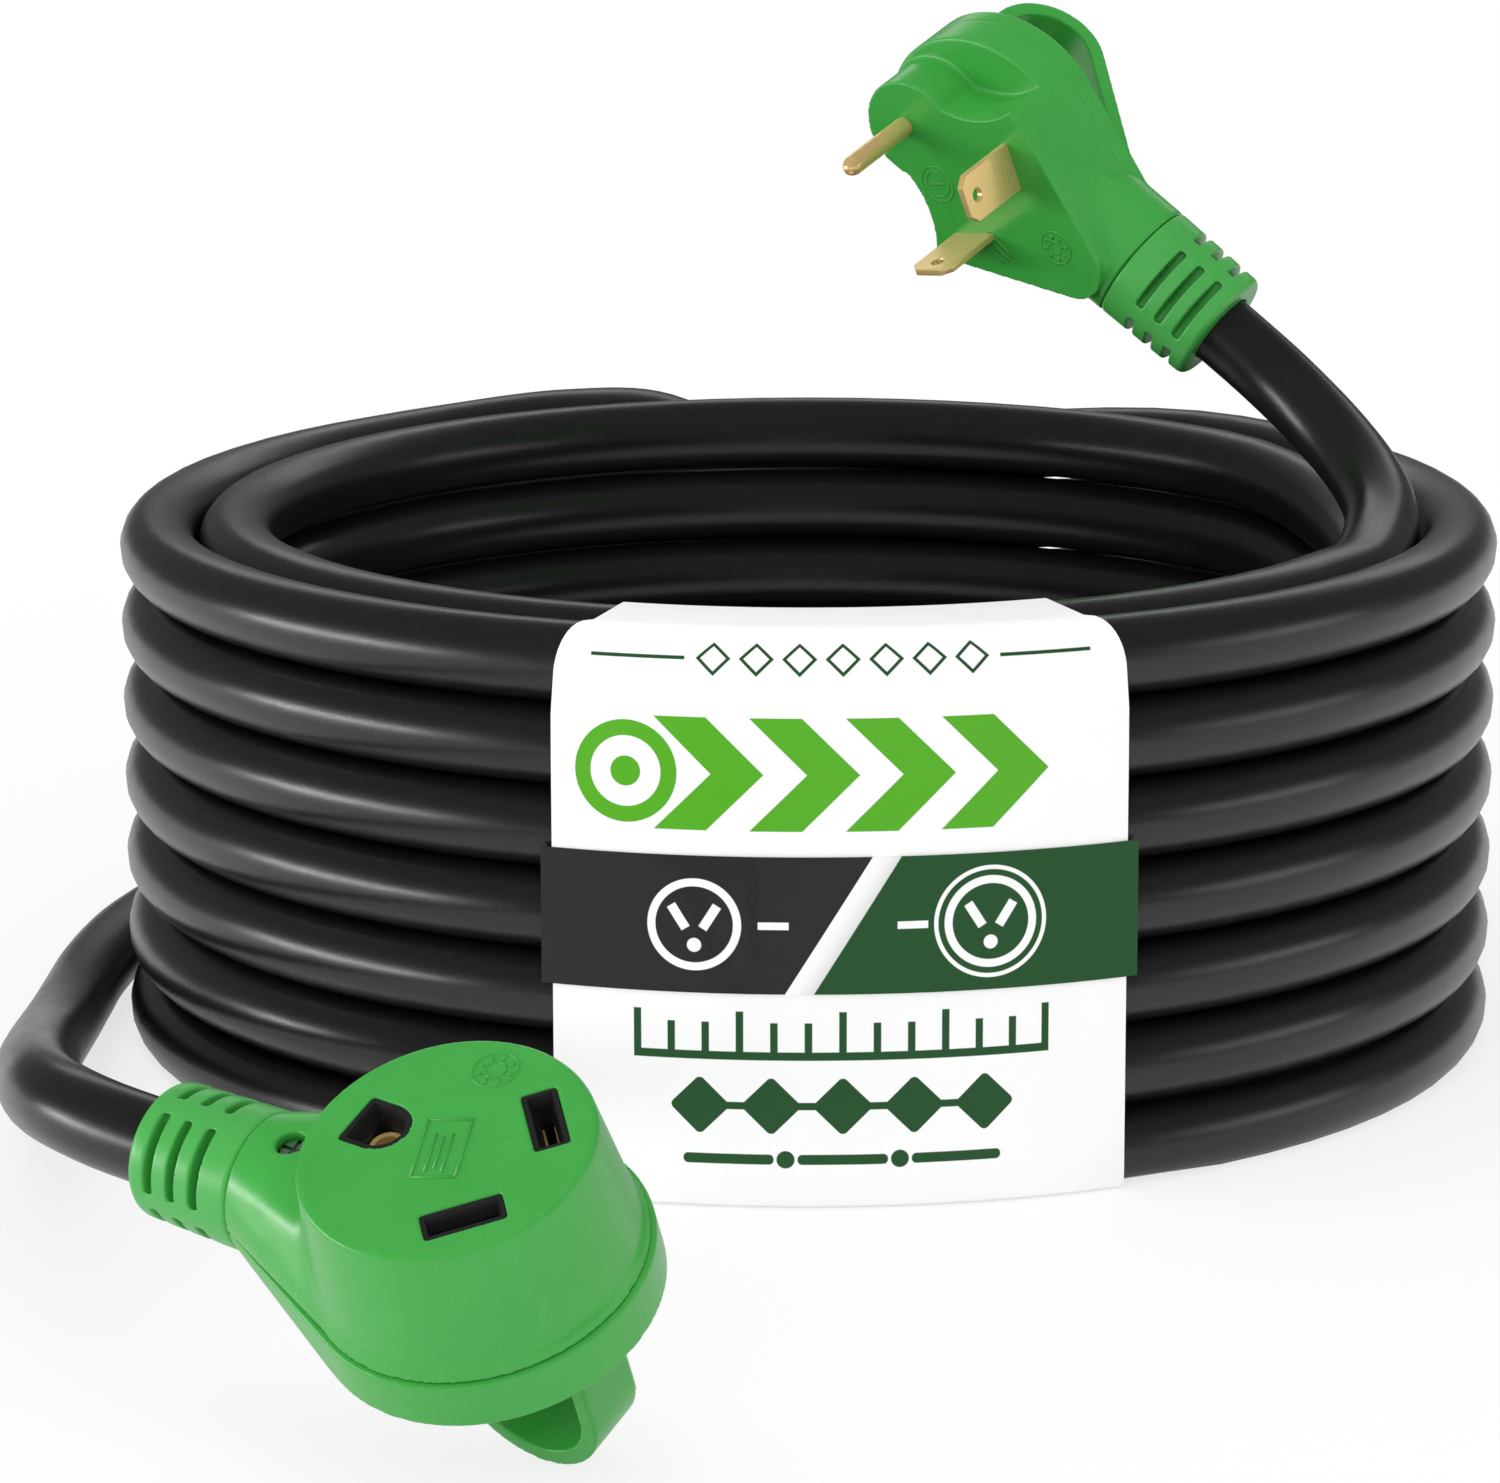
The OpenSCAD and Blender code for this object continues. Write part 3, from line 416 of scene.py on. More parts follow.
def finished(obj, name, place, slot, nodes, sharp=None):
    """Names a piece, puts its place into its mesh, gives it its body and finish, and hides the CAD nodes it
    replaces.
    """
    obj.name = obj.data.name = name
    obj.data.transform(place)
    obj.data.shade_smooth()
    if sharp is not None:
        obj.data.set_sharp_from_angle(angle=math.radians(sharp))
    obj.data.materials.clear()
    obj.data.materials.append(finish(slot))
    obj.data.update()
    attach(obj, BODY)
    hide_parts(*nodes)


# ---- Materials ----


class Wire:
    """An output socket whose arithmetic adds Math nodes."""

    def __init__(self, shade, socket):
        self.shade = shade
        self.socket = socket

    def math(self, operation, *others, clamp=False):
        settings = {"operation": operation, "use_clamp": clamp}
        return self.shade.node("ShaderNodeMath", settings, dict(enumerate((self,) + others)))

    def __add__(self, other):
        return self.math("ADD", other)

    __radd__ = __add__

    def __mul__(self, other):
        return self.math("MULTIPLY", other)

    __rmul__ = __mul__

    def __sub__(self, other):
        return self.math("SUBTRACT", other)

    def __rsub__(self, other):
        return self * -1.0 + other

    def __truediv__(self, other):
        return self.math("DIVIDE", other)

    def __abs__(self):
        return self.math("ABSOLUTE")

    def most(self, other):
        return self.math("MAXIMUM", other)

    def clip(self):
        return self.math("ADD", 0.0, clamp=True)

    def under(self, edge, soft):
        """1 below the edge and 0 above it, over a soft width."""
        return ((edge - self) * (1.0 / soft) + 0.5).clip()


class Shade:
    """The emptied node tree of a material or a world."""

    def __init__(self, owner):
        owner.use_nodes = True
        self.owner = owner
        self.tree = owner.node_tree
        self.tree.nodes.clear()

    def node(self, kind, settings=None, values=None, out=0):
        """Adds a node: its settings first, then the values or links of its sockets."""
        node = self.tree.nodes.new(kind)
        for key, value in (settings or {}).items():
            setattr(node, key, value)
        for key, value in (values or {}).items():
            if isinstance(value, Wire):
                self.tree.links.new(value.socket, node.inputs[key])
            else:
                node.inputs[key].default_value = value
        return Wire(self, node.outputs[out]) if node.outputs else node

    def rays(self, *kinds):
        """Masks of the light paths of these kinds."""
        outputs = self.node("ShaderNodeLightPath").socket.node.outputs
        return [Wire(self, outputs[f"Is {kind} Ray"]) for kind in kinds]

    def place(self, source="Object"):
        return self.node("ShaderNodeTexCoord", out=source)

    def noise(self, where, scale, detail=2.0, rough=0.5):
        values = {"Vector": where, "Scale": scale, "Detail": detail, "Roughness": rough}
        return self.node("ShaderNodeTexNoise", None, values, out="Fac")

    def stretched(self, where, scale, turn=(0, 0, 0)):
        return self.node("ShaderNodeMapping", None, {"Vector": where, "Scale": scale, "Rotation": turn})

    def mix(self, factor, a, b):
        values = {0: factor, 6: a, 7: b}
        return self.node("ShaderNodeMix", {"data_type": "RGBA"}, values, out=2)

    def bump(self, height, distance, strength=1.0, below=None):
        values = {"Height": height, "Distance": distance, "Strength": strength}
        if below is not None:
            values["Normal"] = below
        return self.node("ShaderNodeBump", None, values)

    def surface(self, **values):
        """Ends the tree in a Principled surface. Underscores stand for the spaces of socket names."""
        named = {key.replace("_", " "): value for key, value in values.items()}
        shader = self.node("ShaderNodeBsdfPrincipled", None, named)
        self.node("ShaderNodeOutputMaterial", None, {"Surface": shader})
        return self.owner


def new_finish(name):
    return Shade(bpy.data.materials.new(name))


def shade_of(colour, k=1.0):
    """A colour with its alpha, made lighter or darker."""
    return (colour[0] * k, colour[1] * k, colour[2] * k, 1.0)


MADE = {}


def finish(name):
    """A finish by its slot's name, made once."""
    if name not in MADE:
        MADE[name] = FINISHES[name](bpy.context.scene.shore_cord)
    return MADE[name]


def moulded_plastic(name, colour, rough, grain_mm, depth_um):
    """Satin moulded plastic: spark-eroded grain, slow mottling and faint handling marks."""
    s = new_finish(name)
    where = s.place()
    cloud = s.noise(where, 55, 3)
    rub = s.noise(s.stretched(where, (1, 1, 0.35), (0.4, 0.2, 0.7)), 420, 3, 0.65)
    grain = s.noise(where, 1000 / grain_mm, 1.5)
    body = s.mix(cloud, shade_of(colour, 0.93), shade_of(colour, 1.08))
    body = s.mix(rub.under(0.36, 0.1) * 0.18, body, shade_of(colour, 1.35))
    roughness = rough + (cloud - 0.5) * 0.10 + (grain - 0.5) * 0.14 + rub.under(0.38, 0.12) * 0.05
    slow = s.bump(cloud, 0.0002, 0.35)
    normal = s.bump(grain, depth_um * 1e-6, 0.8, slow)
    return s.surface(Base_Color=body, Roughness=roughness, IOR=1.5, Specular_IOR_Level=0.5, Normal=normal)


def body_plastic(settings):
    return moulded_plastic("satin green plastic", settings.body_colour, 0.32, 0.45, 14)


def boot_rubber(settings):
    red, green, blue = settings.body_colour
    # Painted sheen: the boots' colour is a little paler than the housings' so that it stands in for the broad
    # soft highlight they catch
    sheen_paler = (red + 0.014, green * 1.08, blue + 0.016)
    return moulded_plastic("flexible green plastic", sheen_paler, 0.38, 0.38, 20)


def block_plastic(settings):
    return moulded_plastic("black insulating plastic", (0.011, 0.011, 0.011), 0.4, 0.5, 12)


def wire_plastic(name, colour):
    def make(settings):
        return moulded_plastic(name, colour, 0.35, 0.8, 8)

    return make


def jacket(settings):
    """Matte cord jacket: fine grain, drawn-out streaks along the cord and a little dust."""
    s = new_finish("black cord jacket")
    along = s.place("UV")
    where = s.place()
    streak = s.noise(s.stretched(along, (26, 3.5, 1)), 1.0, 3, 0.6)
    grain = s.noise(where, 1900, 2)
    cloud = s.noise(where, 24, 3)
    dust = s.noise(where, 210, 4, 0.7)
    colour = settings.jacket_colour
    body = s.mix(cloud, shade_of(colour, 0.8), shade_of(colour, 1.25))
    body = s.mix(dust.under(0.38, 0.12) * 0.35, body, (0.014, 0.014, 0.0145, 1))
    roughness = 0.31 + (streak - 0.5) * 0.12 + (grain - 0.5) * 0.12 + (cloud - 0.5) * 0.08
    drawn = s.bump(streak, 0.00008, 0.5)
    normal = s.bump(grain, 0.00002, 0.7, drawn)
    return s.surface(Base_Color=body, Roughness=roughness, IOR=1.5, Normal=normal)


def brass(settings):
    """Rolled brass with fine lines, a little tarnish and bright rubbed spots."""
    s = new_finish("rolled brass")
    where = s.place()
    lines = s.noise(s.stretched(where, (0.3, 1, 1), (0.5, 0.9, 0.2)), 2600, 2, 0.7)
    cloud = s.noise(where, 160, 4, 0.6)
    body = s.mix(cloud, (0.92, 0.67, 0.29, 1), (0.82, 0.57, 0.22, 1))
    roughness = 0.3 + (cloud - 0.5) * 0.14 + (lines - 0.5) * 0.12
    normal = s.bump(lines, 0.000012, 0.6)
    return s.surface(Base_Color=body, Metallic=0.6, Roughness=roughness, Normal=normal)


def screw_steel(settings):
    s = new_finish("plated steel")
    where = s.place()
    lines = s.noise(where, 3000, 2, 0.7)
    cloud = s.noise(where, 300, 3)
    body = s.mix(cloud, (0.72, 0.72, 0.72, 1), (0.55, 0.55, 0.57, 1))
    roughness = 0.26 + (cloud - 0.5) * 0.15 + (lines - 0.5) * 0.1
    return s.surface(Base_Color=body, Metallic=1.0, Roughness=roughness, Normal=s.bump(lines, 0.00001, 0.5))


class Print:
    """Flat shapes in millimetres on a piece's UV map, as masks from 0 to 1."""

    SOFT = 0.16

    def __init__(self, shade):
        self.shade = shade
        where = shade.place("UV")
        split = shade.node("ShaderNodeSeparateXYZ", None, {"Vector": where}).socket.node.outputs
        self.x, self.y = (Wire(shade, split[i]) * 100.0 for i in range(2))

    def turned(self, cx, cy, degrees):
        a = math.radians(degrees)
        dx, dy = self.x - cx, self.y - cy
        return dx * math.cos(a) + dy * math.sin(a), dy * math.cos(a) - dx * math.sin(a)

    def bar(self, cx, cy, half_w, half_h, degrees=0.0, r=0.0):
        """Upright or turned bar, with rounded corners if r is given."""
        u, v = self.turned(cx, cy, degrees)
        if not r:
            return abs(u).under(half_w, self.SOFT) * abs(v).under(half_h, self.SOFT)
        du = (abs(u) - (half_w - r)).most(0.0)
        dv = (abs(v) - (half_h - r)).most(0.0)
        return (du * du + dv * dv).math("SQRT").under(r, self.SOFT)

    def disc(self, cx, cy, r):
        dx, dy = self.x - cx, self.y - cy
        return (dx * dx + dy * dy).math("SQRT").under(r, self.SOFT)

    def ring(self, cx, cy, r, width):
        dx, dy = self.x - cx, self.y - cy
        return abs((dx * dx + dy * dy).math("SQRT") - r).under(width / 2, self.SOFT)

    def chevron(self, cx, cy, half_h, thick):
        """Arrow head pointing right."""
        u, v = self.x - cx, self.y - cy
        lean = u + abs(v)
        return abs(lean).under(thick / 2, self.SOFT * 1.4) * abs(v).under(half_h, self.SOFT)


def any_of(masks):
    total = masks[0]
    for mask in masks[1:]:
        total = total.most(mask)
    return total


def card_surface(s, body, where):
    """Ends a printed card's tree: faint fibres, a slight wave and a thin coat."""
    fibre = s.noise(where, 900, 4, 0.7)
    flow = s.noise(where, 35, 2)
    roughness = 0.5 + (fibre - 0.5) * 0.12
    normal = s.bump(fibre, 0.00001, 0.5, s.bump(flow, 0.0006, 0.25))
    return s.surface(
        Base_Color=body, Roughness=roughness, Normal=normal, Specular_IOR_Level=0.25, Coat_Weight=0.08
    )


def card(settings):
    """White coated card with plain printed shapes: arrows, a measuring rule and small marks."""
    s = new_finish("printed card")
    where = s.place()
    ink = Print(s)
    cloud = s.noise(where, 60, 3)
    white = s.mix(cloud, shade_of(settings.card_colour, 0.985), shade_of(settings.card_colour, 1.01))
    arrows = any_of([ink.chevron(x, 93.2, 12.0, 11.0) for x in (-22, -2, 18, 38)])
    target = ink.ring(-45.5, 93.2, 9.2, 3.4).most(ink.disc(-45.5, 93.2, 3.2))
    bright = arrows.most(target)
    rule = [ink.bar(0, 33.0, 44, 0.9)]
    for k in range(13):
        half_h = 3.6 if k % 3 else 4.8
        rule.append(ink.bar(-43.2 + 7.2 * k, 33.0 + half_h, 0.8, half_h))
    squares = [ink.bar(-30 + 15 * k, 22.2, 4.6, 4.6, 45, 1.2) for k in range(5)]
    squares += [ink.bar(-22.5 + 15 * k, 22.2, 2.2, 0.8) for k in range(4)]
    foot_line = [ink.bar(x, 10.6, 9.5, 1.1, 0, 1.0) for x in (-24, 0, 24)]
    foot_line += [ink.disc(x, 10.6, 1.9) for x in (-12, 12)]
    whole, hollow = (
        any_of([ink.bar(-27 + 9 * k, 117.6, half, half, 45) for k in range(7)]) for half in (2.6, 1.9)
    )
    crest = [whole * (1 - hollow)]
    crest += [ink.bar(-43, 117.6, 10, 0.4), ink.bar(43, 117.6, 10, 0.4)]
    dark = any_of(rule + squares + foot_line + crest)
    body = s.mix(bright, white, shade_of(settings.print_bright))
    body = s.mix(dark, body, shade_of(settings.print_dark))
    return card_surface(s, body, where)


def belt_print(settings):
    """Printed belt: charcoal to the left, deep green to the right, a slanted white strip between."""
    s = new_finish("printed belt")
    where = s.place()
    ink = Print(s)
    mid = BELT_Z + BELT_H / 2
    slant = ink.x - (ink.y - mid) * 0.62
    cloud = s.noise(where, 90, 3)
    charcoal = s.mix(cloud, (0.015, 0.015, 0.0155, 1), (0.018, 0.018, 0.0185, 1))
    right = (3.0 - slant).under(0.0, ink.SOFT)
    strip = (-3.0 - slant).under(0.0, ink.SOFT) * (1 - right)
    body = s.mix(right, charcoal, shade_of(settings.print_dark))
    shadow = ((slant + 3.0) / 6.0).clip()
    paper = s.mix(shadow * shadow * 0.5, (0.9, 0.9, 0.9, 1), (0.45, 0.46, 0.45, 1))
    body = s.mix(strip, body, paper)
    marks = []
    for cx in (-31.0, 31.0):
        marks.append(ink.ring(cx, mid, 9.0, 1.7))
        marks += [ink.bar(cx + side * 3.3, mid + 1.6, 1.0, 2.9, side * -32) for side in (-1, 1)]
        marks.append(ink.disc(cx, mid - 4.4, 1.5))
    marks.append(ink.ring(31.0, mid, 11.6, 0.9))
    marks += [ink.bar(-14.5, mid, 3.2, 0.8), ink.bar(14.5, mid, 3.2, 0.8)]
    body = s.mix(any_of(marks), body, (0.9, 0.9, 0.9, 1))
    return card_surface(s, body, where)


FINISHES = {
    "body_plastic": body_plastic,
    "boot_rubber": boot_rubber,
    "jacket": jacket,
    "brass": brass,
    "block_plastic": block_plastic,
    "screw_steel": screw_steel,
    "wire_black": wire_plastic("black conductor insulation", (0.012, 0.012, 0.012)),
    "wire_white": wire_plastic("white conductor insulation", (0.80, 0.80, 0.78)),
    "wire_green": wire_plastic("green conductor insulation", (0.03, 0.28, 0.05)),
    "card": card,
    "belt_print": belt_print,
}


# ---- Cord ----


def cord_tube(points, sides):
    """Closed tube along the points, flattened where it stands, with a UV map in hundreds of millimetres."""
    bm = bmesh.new()
    uv = bm.loops.layers.uv.new("UVMap")
    up = Vector((0, 0, 1))
    rings = []
    travel = [0.0]
    for a, b in zip(points, points[1:]):
        travel.append(travel[-1] + (b - a).length)
    for i, p in enumerate(points):
        before, after = points[max(0, i - 1)], points[min(len(points) - 1, i + 1)]
        t = (after - before).normalized()
        across = t.cross(up).normalized()
        over = across.cross(t)
        foot = floor_under(p)
        ring = []
        for j in range(sides):
            a = 2 * math.pi * j / sides
            co = p + CORD_R * (math.cos(a) * across + math.sin(a) * over)
            co.z = max(co.z, foot)
            ring.append(bm.verts.new(co))
        rings.append(ring)
    girth = math.pi * CORD_D
    for i in range(len(rings) - 1):
        for j in range(sides):
            spots = ((i, j), (i, j + 1), (i + 1, j + 1), (i + 1, j))
            face = bm.faces.new([rings[row][side % sides] for row, side in spots])
            for loop, (row, side) in zip(face.loops, spots):
                loop[uv].uv = (girth * side / sides * 0.01, travel[row] * 0.01)
    bm.faces.new(rings[0])
    bm.faces.new(rings[-1][::-1])
    bmesh.ops.recalc_face_normals(bm, faces=bm.faces)
    return bm


def floor_under(p):
    """Height that the cord's underside is kept above: the floor, or the card under the coil."""
    turn = math.degrees(math.atan2(p.y, p.x)) - (LABEL_TURN - 90)
    over = min(1.0, max(0.0, (LABEL_HALF + 12 - abs(turn)) / 8))
    return (CARD_T + CARD_GAP) * ease(over) if p.length < COIL_R + 30 else 0.0


# ---- Head pieces ----


def half_space(z, above, x0=-100.0):
    """Block that fills all of a head above or below a depth, from x0 onwards."""
    low, high = (-z, -z + 120) if above else (-z - 120, -z)
    return block((x0, -100, low), (150, 100, high))


def plan(head, inset=0.0):
    """Outline of a head's face and tail, drawn in by an inset."""
    return drop(head["r"] - inset, head["tail_r"] - inset, head["tail_x"])


def neck_bore(head):
    """The clamp's and the boot's seat in a neck, its narrower mouth and the cord's own hole."""
    x, z, seat = head["neck_x"], head["neck_z"], head["neck_r"] - NECK_WALL
    return [
        rod(x - 12.5, x - 2.6, z, seat),
        rod(x - 3, x + 1, z, seat - 1),
        rod(x - 26, x, z, CORD_R + FIT),
    ]


def screw_recesses(head, back):
    """Recesses for the heads of the four cover screws."""
    out = head["screw_out"]
    angles = [math.radians(d) for d in (90, 150, 210, 270)]
    return [
        post(out * math.cos(a), out * math.sin(a), -back - 1, -back + 2, SCREW_HEAD_R, n=32) for a in angles
    ]


def rounded_rect(w, l, r, n=6):
    """Outline of a rectangle with rounded corners, middle at the origin."""
    out = []
    for cx, cy, start in ((w - r, l - r, 0), (r - w, l - r, 90), (r - w, r - l, 180), (w - r, r - l, 270)):
        out += circle(r, n, cx, cy, math.radians(start), math.pi / 2, False)
    return out


def pull_loop(head):
    """Pull handle: a flat strap bent into a loop behind the rear cover, and its opening."""
    rise, bend, mid_x, foot_x = head["loop"]
    back = head["body_h"] + head["cover_h"]
    mid = Vector((mid_x, -back - rise + bend))
    foot = Vector((foot_x, -back))
    span = (foot - mid).length
    lean = math.atan2(foot.y - mid.y, foot.x - mid.x)
    touch = lean - math.acos(bend / span)
    edge = Vector((math.cos(touch), math.sin(touch)))
    inner = bend - STRAP_T
    inner_foot = foot_x - STRAP_T / edge.x
    root = 2.5

    def outline(r, foot_at, top):
        sweep = (touch - math.pi) % (2 * math.pi)
        arc = circle(r, 64, mid.x, mid.y, math.pi, sweep, False)
        out = [(mid.x - r, top)] + arc + [(foot_at, -back)]
        if top > -back:
            out.append((foot_at, top))
        return out

    flip = Matrix.Rotation(math.pi / 2, 4, "X")
    strap = moved(prism(outline(bend, foot_x, root - back), -STRAP_W / 2, STRAP_W / 2), flip)
    opening = moved(prism(outline(inner, inner_foot, -back), -STRAP_W, STRAP_W), flip)
    return strap, opening


def ring_mark(x, y, r):
    """Raised ring on a head's face."""
    half = 0.22
    inner, outer = r - half, r + half
    profile = [
        (inner, MARK_SINK), (r - half * 0.6, MARK_RISE), (r + half * 0.6, MARK_RISE),
        (outer, MARK_SINK), (inner, MARK_SINK),
    ]
    return moved(turned(profile, 64), Matrix.Translation((x, y, 0)))


def bar_mark(x, y, half_l, degrees):
    """Raised bar on a head's face."""
    half_w = 0.24
    place = Matrix.Translation((x, y, 0)) @ Matrix.Rotation(math.radians(degrees), 4, "Z")
    return block((-half_l, -half_w, MARK_SINK), (half_l, half_w, MARK_RISE), place)


def ray_marks(x, y, middle):
    """Eight short raised bars that point away from a spot."""
    spots = [(math.cos(math.radians(a)), math.sin(math.radians(a)), a) for a in range(0, 360, 45)]
    return [bar_mark(x + middle * u, y + middle * v, 0.7, a) for u, v, a in spots]


def frame_mark(x, y, half_l, half_w, degrees):
    """Raised frame with three short lines in it."""
    turn = Matrix.Rotation(math.radians(degrees), 4, "Z")
    sides = [(0, sign * half_w, half_l, 0) for sign in (1, -1)]
    sides += [(sign * half_l, 0, half_w, 90) for sign in (1, -1)]
    lines = [(-1.2, 1.9, half_l - 2.4, 0), (-1.2, 0.3, half_l - 3.2, 0), (-1.2, -1.3, half_l - 2.4, 0)]
    out = []
    for u, v, half, more in sides + lines:
        spot = turn @ Vector((u, v, 0))
        out.append(bar_mark(x + spot.x, y + spot.y, half, degrees + more))
    return out


def plug_housing():
    """The plug's front shell: face, round nose, two finger notches and the upper half of the neck."""
    head = HEADS["plug"]
    x, z, back = head["neck_x"], head["neck_z"], -head["body_h"]
    neck = cut_shape(rod(18, x, z, head["neck_r"] + 0.5, head["neck_r"]), [half_space(z, False)])
    notches = [post(NOTCH_X, s * NOTCH_OUT, -NOTCH_H, 1, NOTCH_R, n=192) for s in (-1, 1)]
    nose_cut = block((-60, -50, -NOTCH_H), (-NOSE_R, 50, 1))
    top = cut_shape(prism(plan(head), back, 0), notches + [nose_cut])
    nose = post(-NOSE_R, 0, -NOTCH_H - 2, 0, NOSE_R)
    notch_walls = [post(NOTCH_X, s * NOTCH_OUT, -20, 2, NOTCH_R + WALL, n=128) for s in (-1, 1)]
    cuts = [cut_shape(post(0, 0, -head["deck"], -4, 21), notch_walls)]
    cuts.append(prism(plan(head, WALL), back - 1, -head["deck"] + 0.01))
    cuts.append(block((x - 16, -50, back - 1), (100, 50, -z)))
    cuts += neck_bore(head)
    shell = moulded(carved([top, nose, neck], cuts), MOULD_VOXEL, 3)
    marks = [ring_mark(-1.0, -7.8, 4.6), ring_mark(-1.0, -7.8, 3.3), bar_mark(-1.0, -7.8, 2.0, 45)]
    marks += [ring_mark(32.0, 2.0, 4.2), ring_mark(32.0, 2.0, 1.6)]
    marks += ray_marks(32.0, 2.0, 2.9)
    marks += [bar_mark(20.0, -9.5 - 1.7 * k, 4.5 - 0.8 * k, -8) for k in range(3)]
    return with_shapes(shell, marks)


def plug_cover():
    """The plug's rear shell: back, lower half of the neck, pull handle and a rim at the seam."""
    head = HEADS["plug"]
    x, z, front = head["neck_x"], head["neck_z"], -head["body_h"]
    depth = head["body_h"] + head["cover_h"]
    body = prism(plan(head), -depth, front - 0.15)
    neck = rod(x - 15.9, x, z, head["neck_r"])
    strap, opening = pull_loop(head)
    loop = cut_shape(strap, [opening])
    # The back swells from the head's flat to the neck's round underside
    swell = rod(14, x - 15.5, z, depth - z, head["neck_r"])
    swell = cut_shape(swell, [half_space(head["body_h"] + 0.5, False)])
    cuts = [half_space(z + 0.12, True, x - 15.95), prism(plan(head, WALL), -depth + WALL, front + 2)]
    cuts += neck_bore(head) + screw_recesses(head, depth)
    shell = shape_of(carved([body, neck, swell, loop], cuts))
    # The seam shows as a shallow groove: a rim stands just inside the outline, round the head and the neck
    rim = prism(plan(head, SEAM_IN), front - 1.2, front + 0.9)
    rim = cut_shape(rim, [prism(plan(head, WALL), -40, 0), block((31.4, -50, -40), (60, 50, 0))])
    ridge = rod(x - 15.9, x - 0.1, z, head["neck_r"] - SEAM_IN)
    ridge = cut_shape(ridge, [half_space(z - 0.9, True), half_space(z + 1.2, False), *neck_bore(head)])
    return moulded(carved([shell, rim, ridge]), MOULD_VOXEL, 3)


def strain_relief(head):
    """Boot behind a neck: a round sleeve with three rows of four slots, and a lip that sits in the neck."""
    x, z, r, length = head["neck_x"], head["neck_z"], head["neck_r"], head["boot_l"]
    end, end_round = x + length, 1.6
    profile = [(0, 0.15), (r - 0.35, 0.15), (r, 0.6)]
    profile += [(r - 0.25, length * 0.5), (r - 0.55, length - end_round)]
    for a in (math.radians(d) for d in (20, 40, 60, 80)):
        profile.append((r - 0.6 - 1.5 * (1 - math.cos(a)), length - end_round + end_round * math.sin(a)))
    profile += [(r - 2.3, length), (0, length)]
    body = moved(turned(profile), Matrix.Translation((x, 0, -z)) @ Matrix.Rotation(math.pi / 2, 4, "Y"))
    root = rod(x - 4.5, x + 1, z, r - 3.4)
    lip = rod(x - 4.5, x - 2.8, z, r - 2.4)
    cuts = [rod(x - 6, end + 1, z, CORD_R + 0.12)]
    first, pitch, half_w, half_sweep = 5.2, 5.5, 1.0, math.radians(34)
    wide, deep = r * math.sin(half_sweep), (r - 3.2) * math.cos(half_sweep)
    for row in range(3):
        spot = Matrix.Translation((end - first - pitch * row, 0, -z))
        for quarter in range(4):
            place = spot @ Matrix.Rotation(math.radians(45 + 90 * quarter), 4, "X")
            cuts.append(block((-half_w, deep, -wide), (half_w, r + 4, wide), place))
    return moulded(carved([body, root, lip], cuts), 0.36, 2)


def flared_neck(head, upper):
    """Half of the connector's neck: round at the boot and widening to the flange's full width."""
    x, z, r = head["neck_x"], head["neck_z"], head["neck_r"]
    bm = bmesh.new()
    side = 1 if upper else -1
    for k in range(49):
        a = math.pi * k / 48
        for at in (x, x - 3):
            bm.verts.new((at, r * math.cos(a), -z + side * r * math.sin(a)))
    if upper:
        rims = ((SKIRT_R + 0.3, -z), (SKIRT_R + 0.3, -z + 1.6), (23.5, -z + 13.0), (17, -z + 15.2))
    else:
        rims = ((COVER_R, -z), (COVER_R, -z - head["cover_h"]))
    for rim, level in rims:
        for px, py in circle(rim, 96):
            bm.verts.new((px, py, level))
    made = bmesh.ops.convex_hull(bm, input=bm.verts)
    loose = [v for v in made["geom_interior"] if isinstance(v, bmesh.types.BMVert)]
    bmesh.ops.delete(bm, geom=loose, context="VERTS")
    bmesh.ops.recalc_face_normals(bm, faces=bm.faces)
    return bm


def connector_housing():
    """The connector's front shell: flared skirt, face with three windows and the upper half of the neck."""
    head = HEADS["connector"]
    r, h, x, z, deck = head["r"], head["body_h"], head["neck_x"], head["neck_z"], head["deck"]
    skirt = [(0, 0), (r - 0.9, 0), (r - 0.25, -0.25), (r, -0.9)]
    skirt += [(r + (SKIRT_R - 0.5 - r) * k / 8, -0.9 - (h - 3.2) * k / 8) for k in range(1, 9)]
    skirt += [(SKIRT_R - 0.1, -h + 1.2), (SKIRT_R + 0.7, -h + 0.3), (SKIRT_R + 0.8, -h + 0.1), (0, -h + 0.1)]
    screw_x, screw_z = x - 9, 12.2 - z
    cuts = [
        half_space(z - 0.1, False),
        post(0, 0, -deck, -WALL, BLOCK_ROOM_R),
        post(0, 0, -h - 1, -deck + 0.01, r - WALL),
        block((10, -9, -h - 1), (x - 12.4, 9, -deck)),
        *neck_bore(head),
        post(screw_x, 0, screw_z - 1.8, screw_z + 12, 2.9, n=48),
        *windows(0.0, -WALL - 1, 1),
    ]
    shell = moulded(carved([turned(skirt, 160), flared_neck(head, True)], cuts), MOULD_VOXEL, 2)

    def where_neck_meets_skirt(co):
        near_neck = 8 < co.x < 37 and abs(co.y) < 31
        return near_neck and -h + 1.6 < co.z < -6 and co.x * co.x + co.y * co.y > 28.9**2

    marks = [ring_mark(3.0, -20.0, 4.4), ring_mark(3.0, -20.0, 2.0)]
    marks += ray_marks(3.0, -20.0, 3.2)
    marks += frame_mark(0.5, 0.5, 7.2, 4.2, -68)
    return with_shapes(blended(shell, where_neck_meets_skirt, 70), marks)


def blade_window(side):
    """Place of a blade's window in the connector's face."""
    turn = Matrix.Rotation(-side * math.pi / 4, 4, "Z")
    return Matrix.Translation((-BLADE_OUT, side * BLADE_OUT, 0)) @ turn


def at_ground(bm):
    """Moves a shape to the ground window."""
    return moved(bm, Matrix.Translation((GROUND_OUT, 0, 0)))


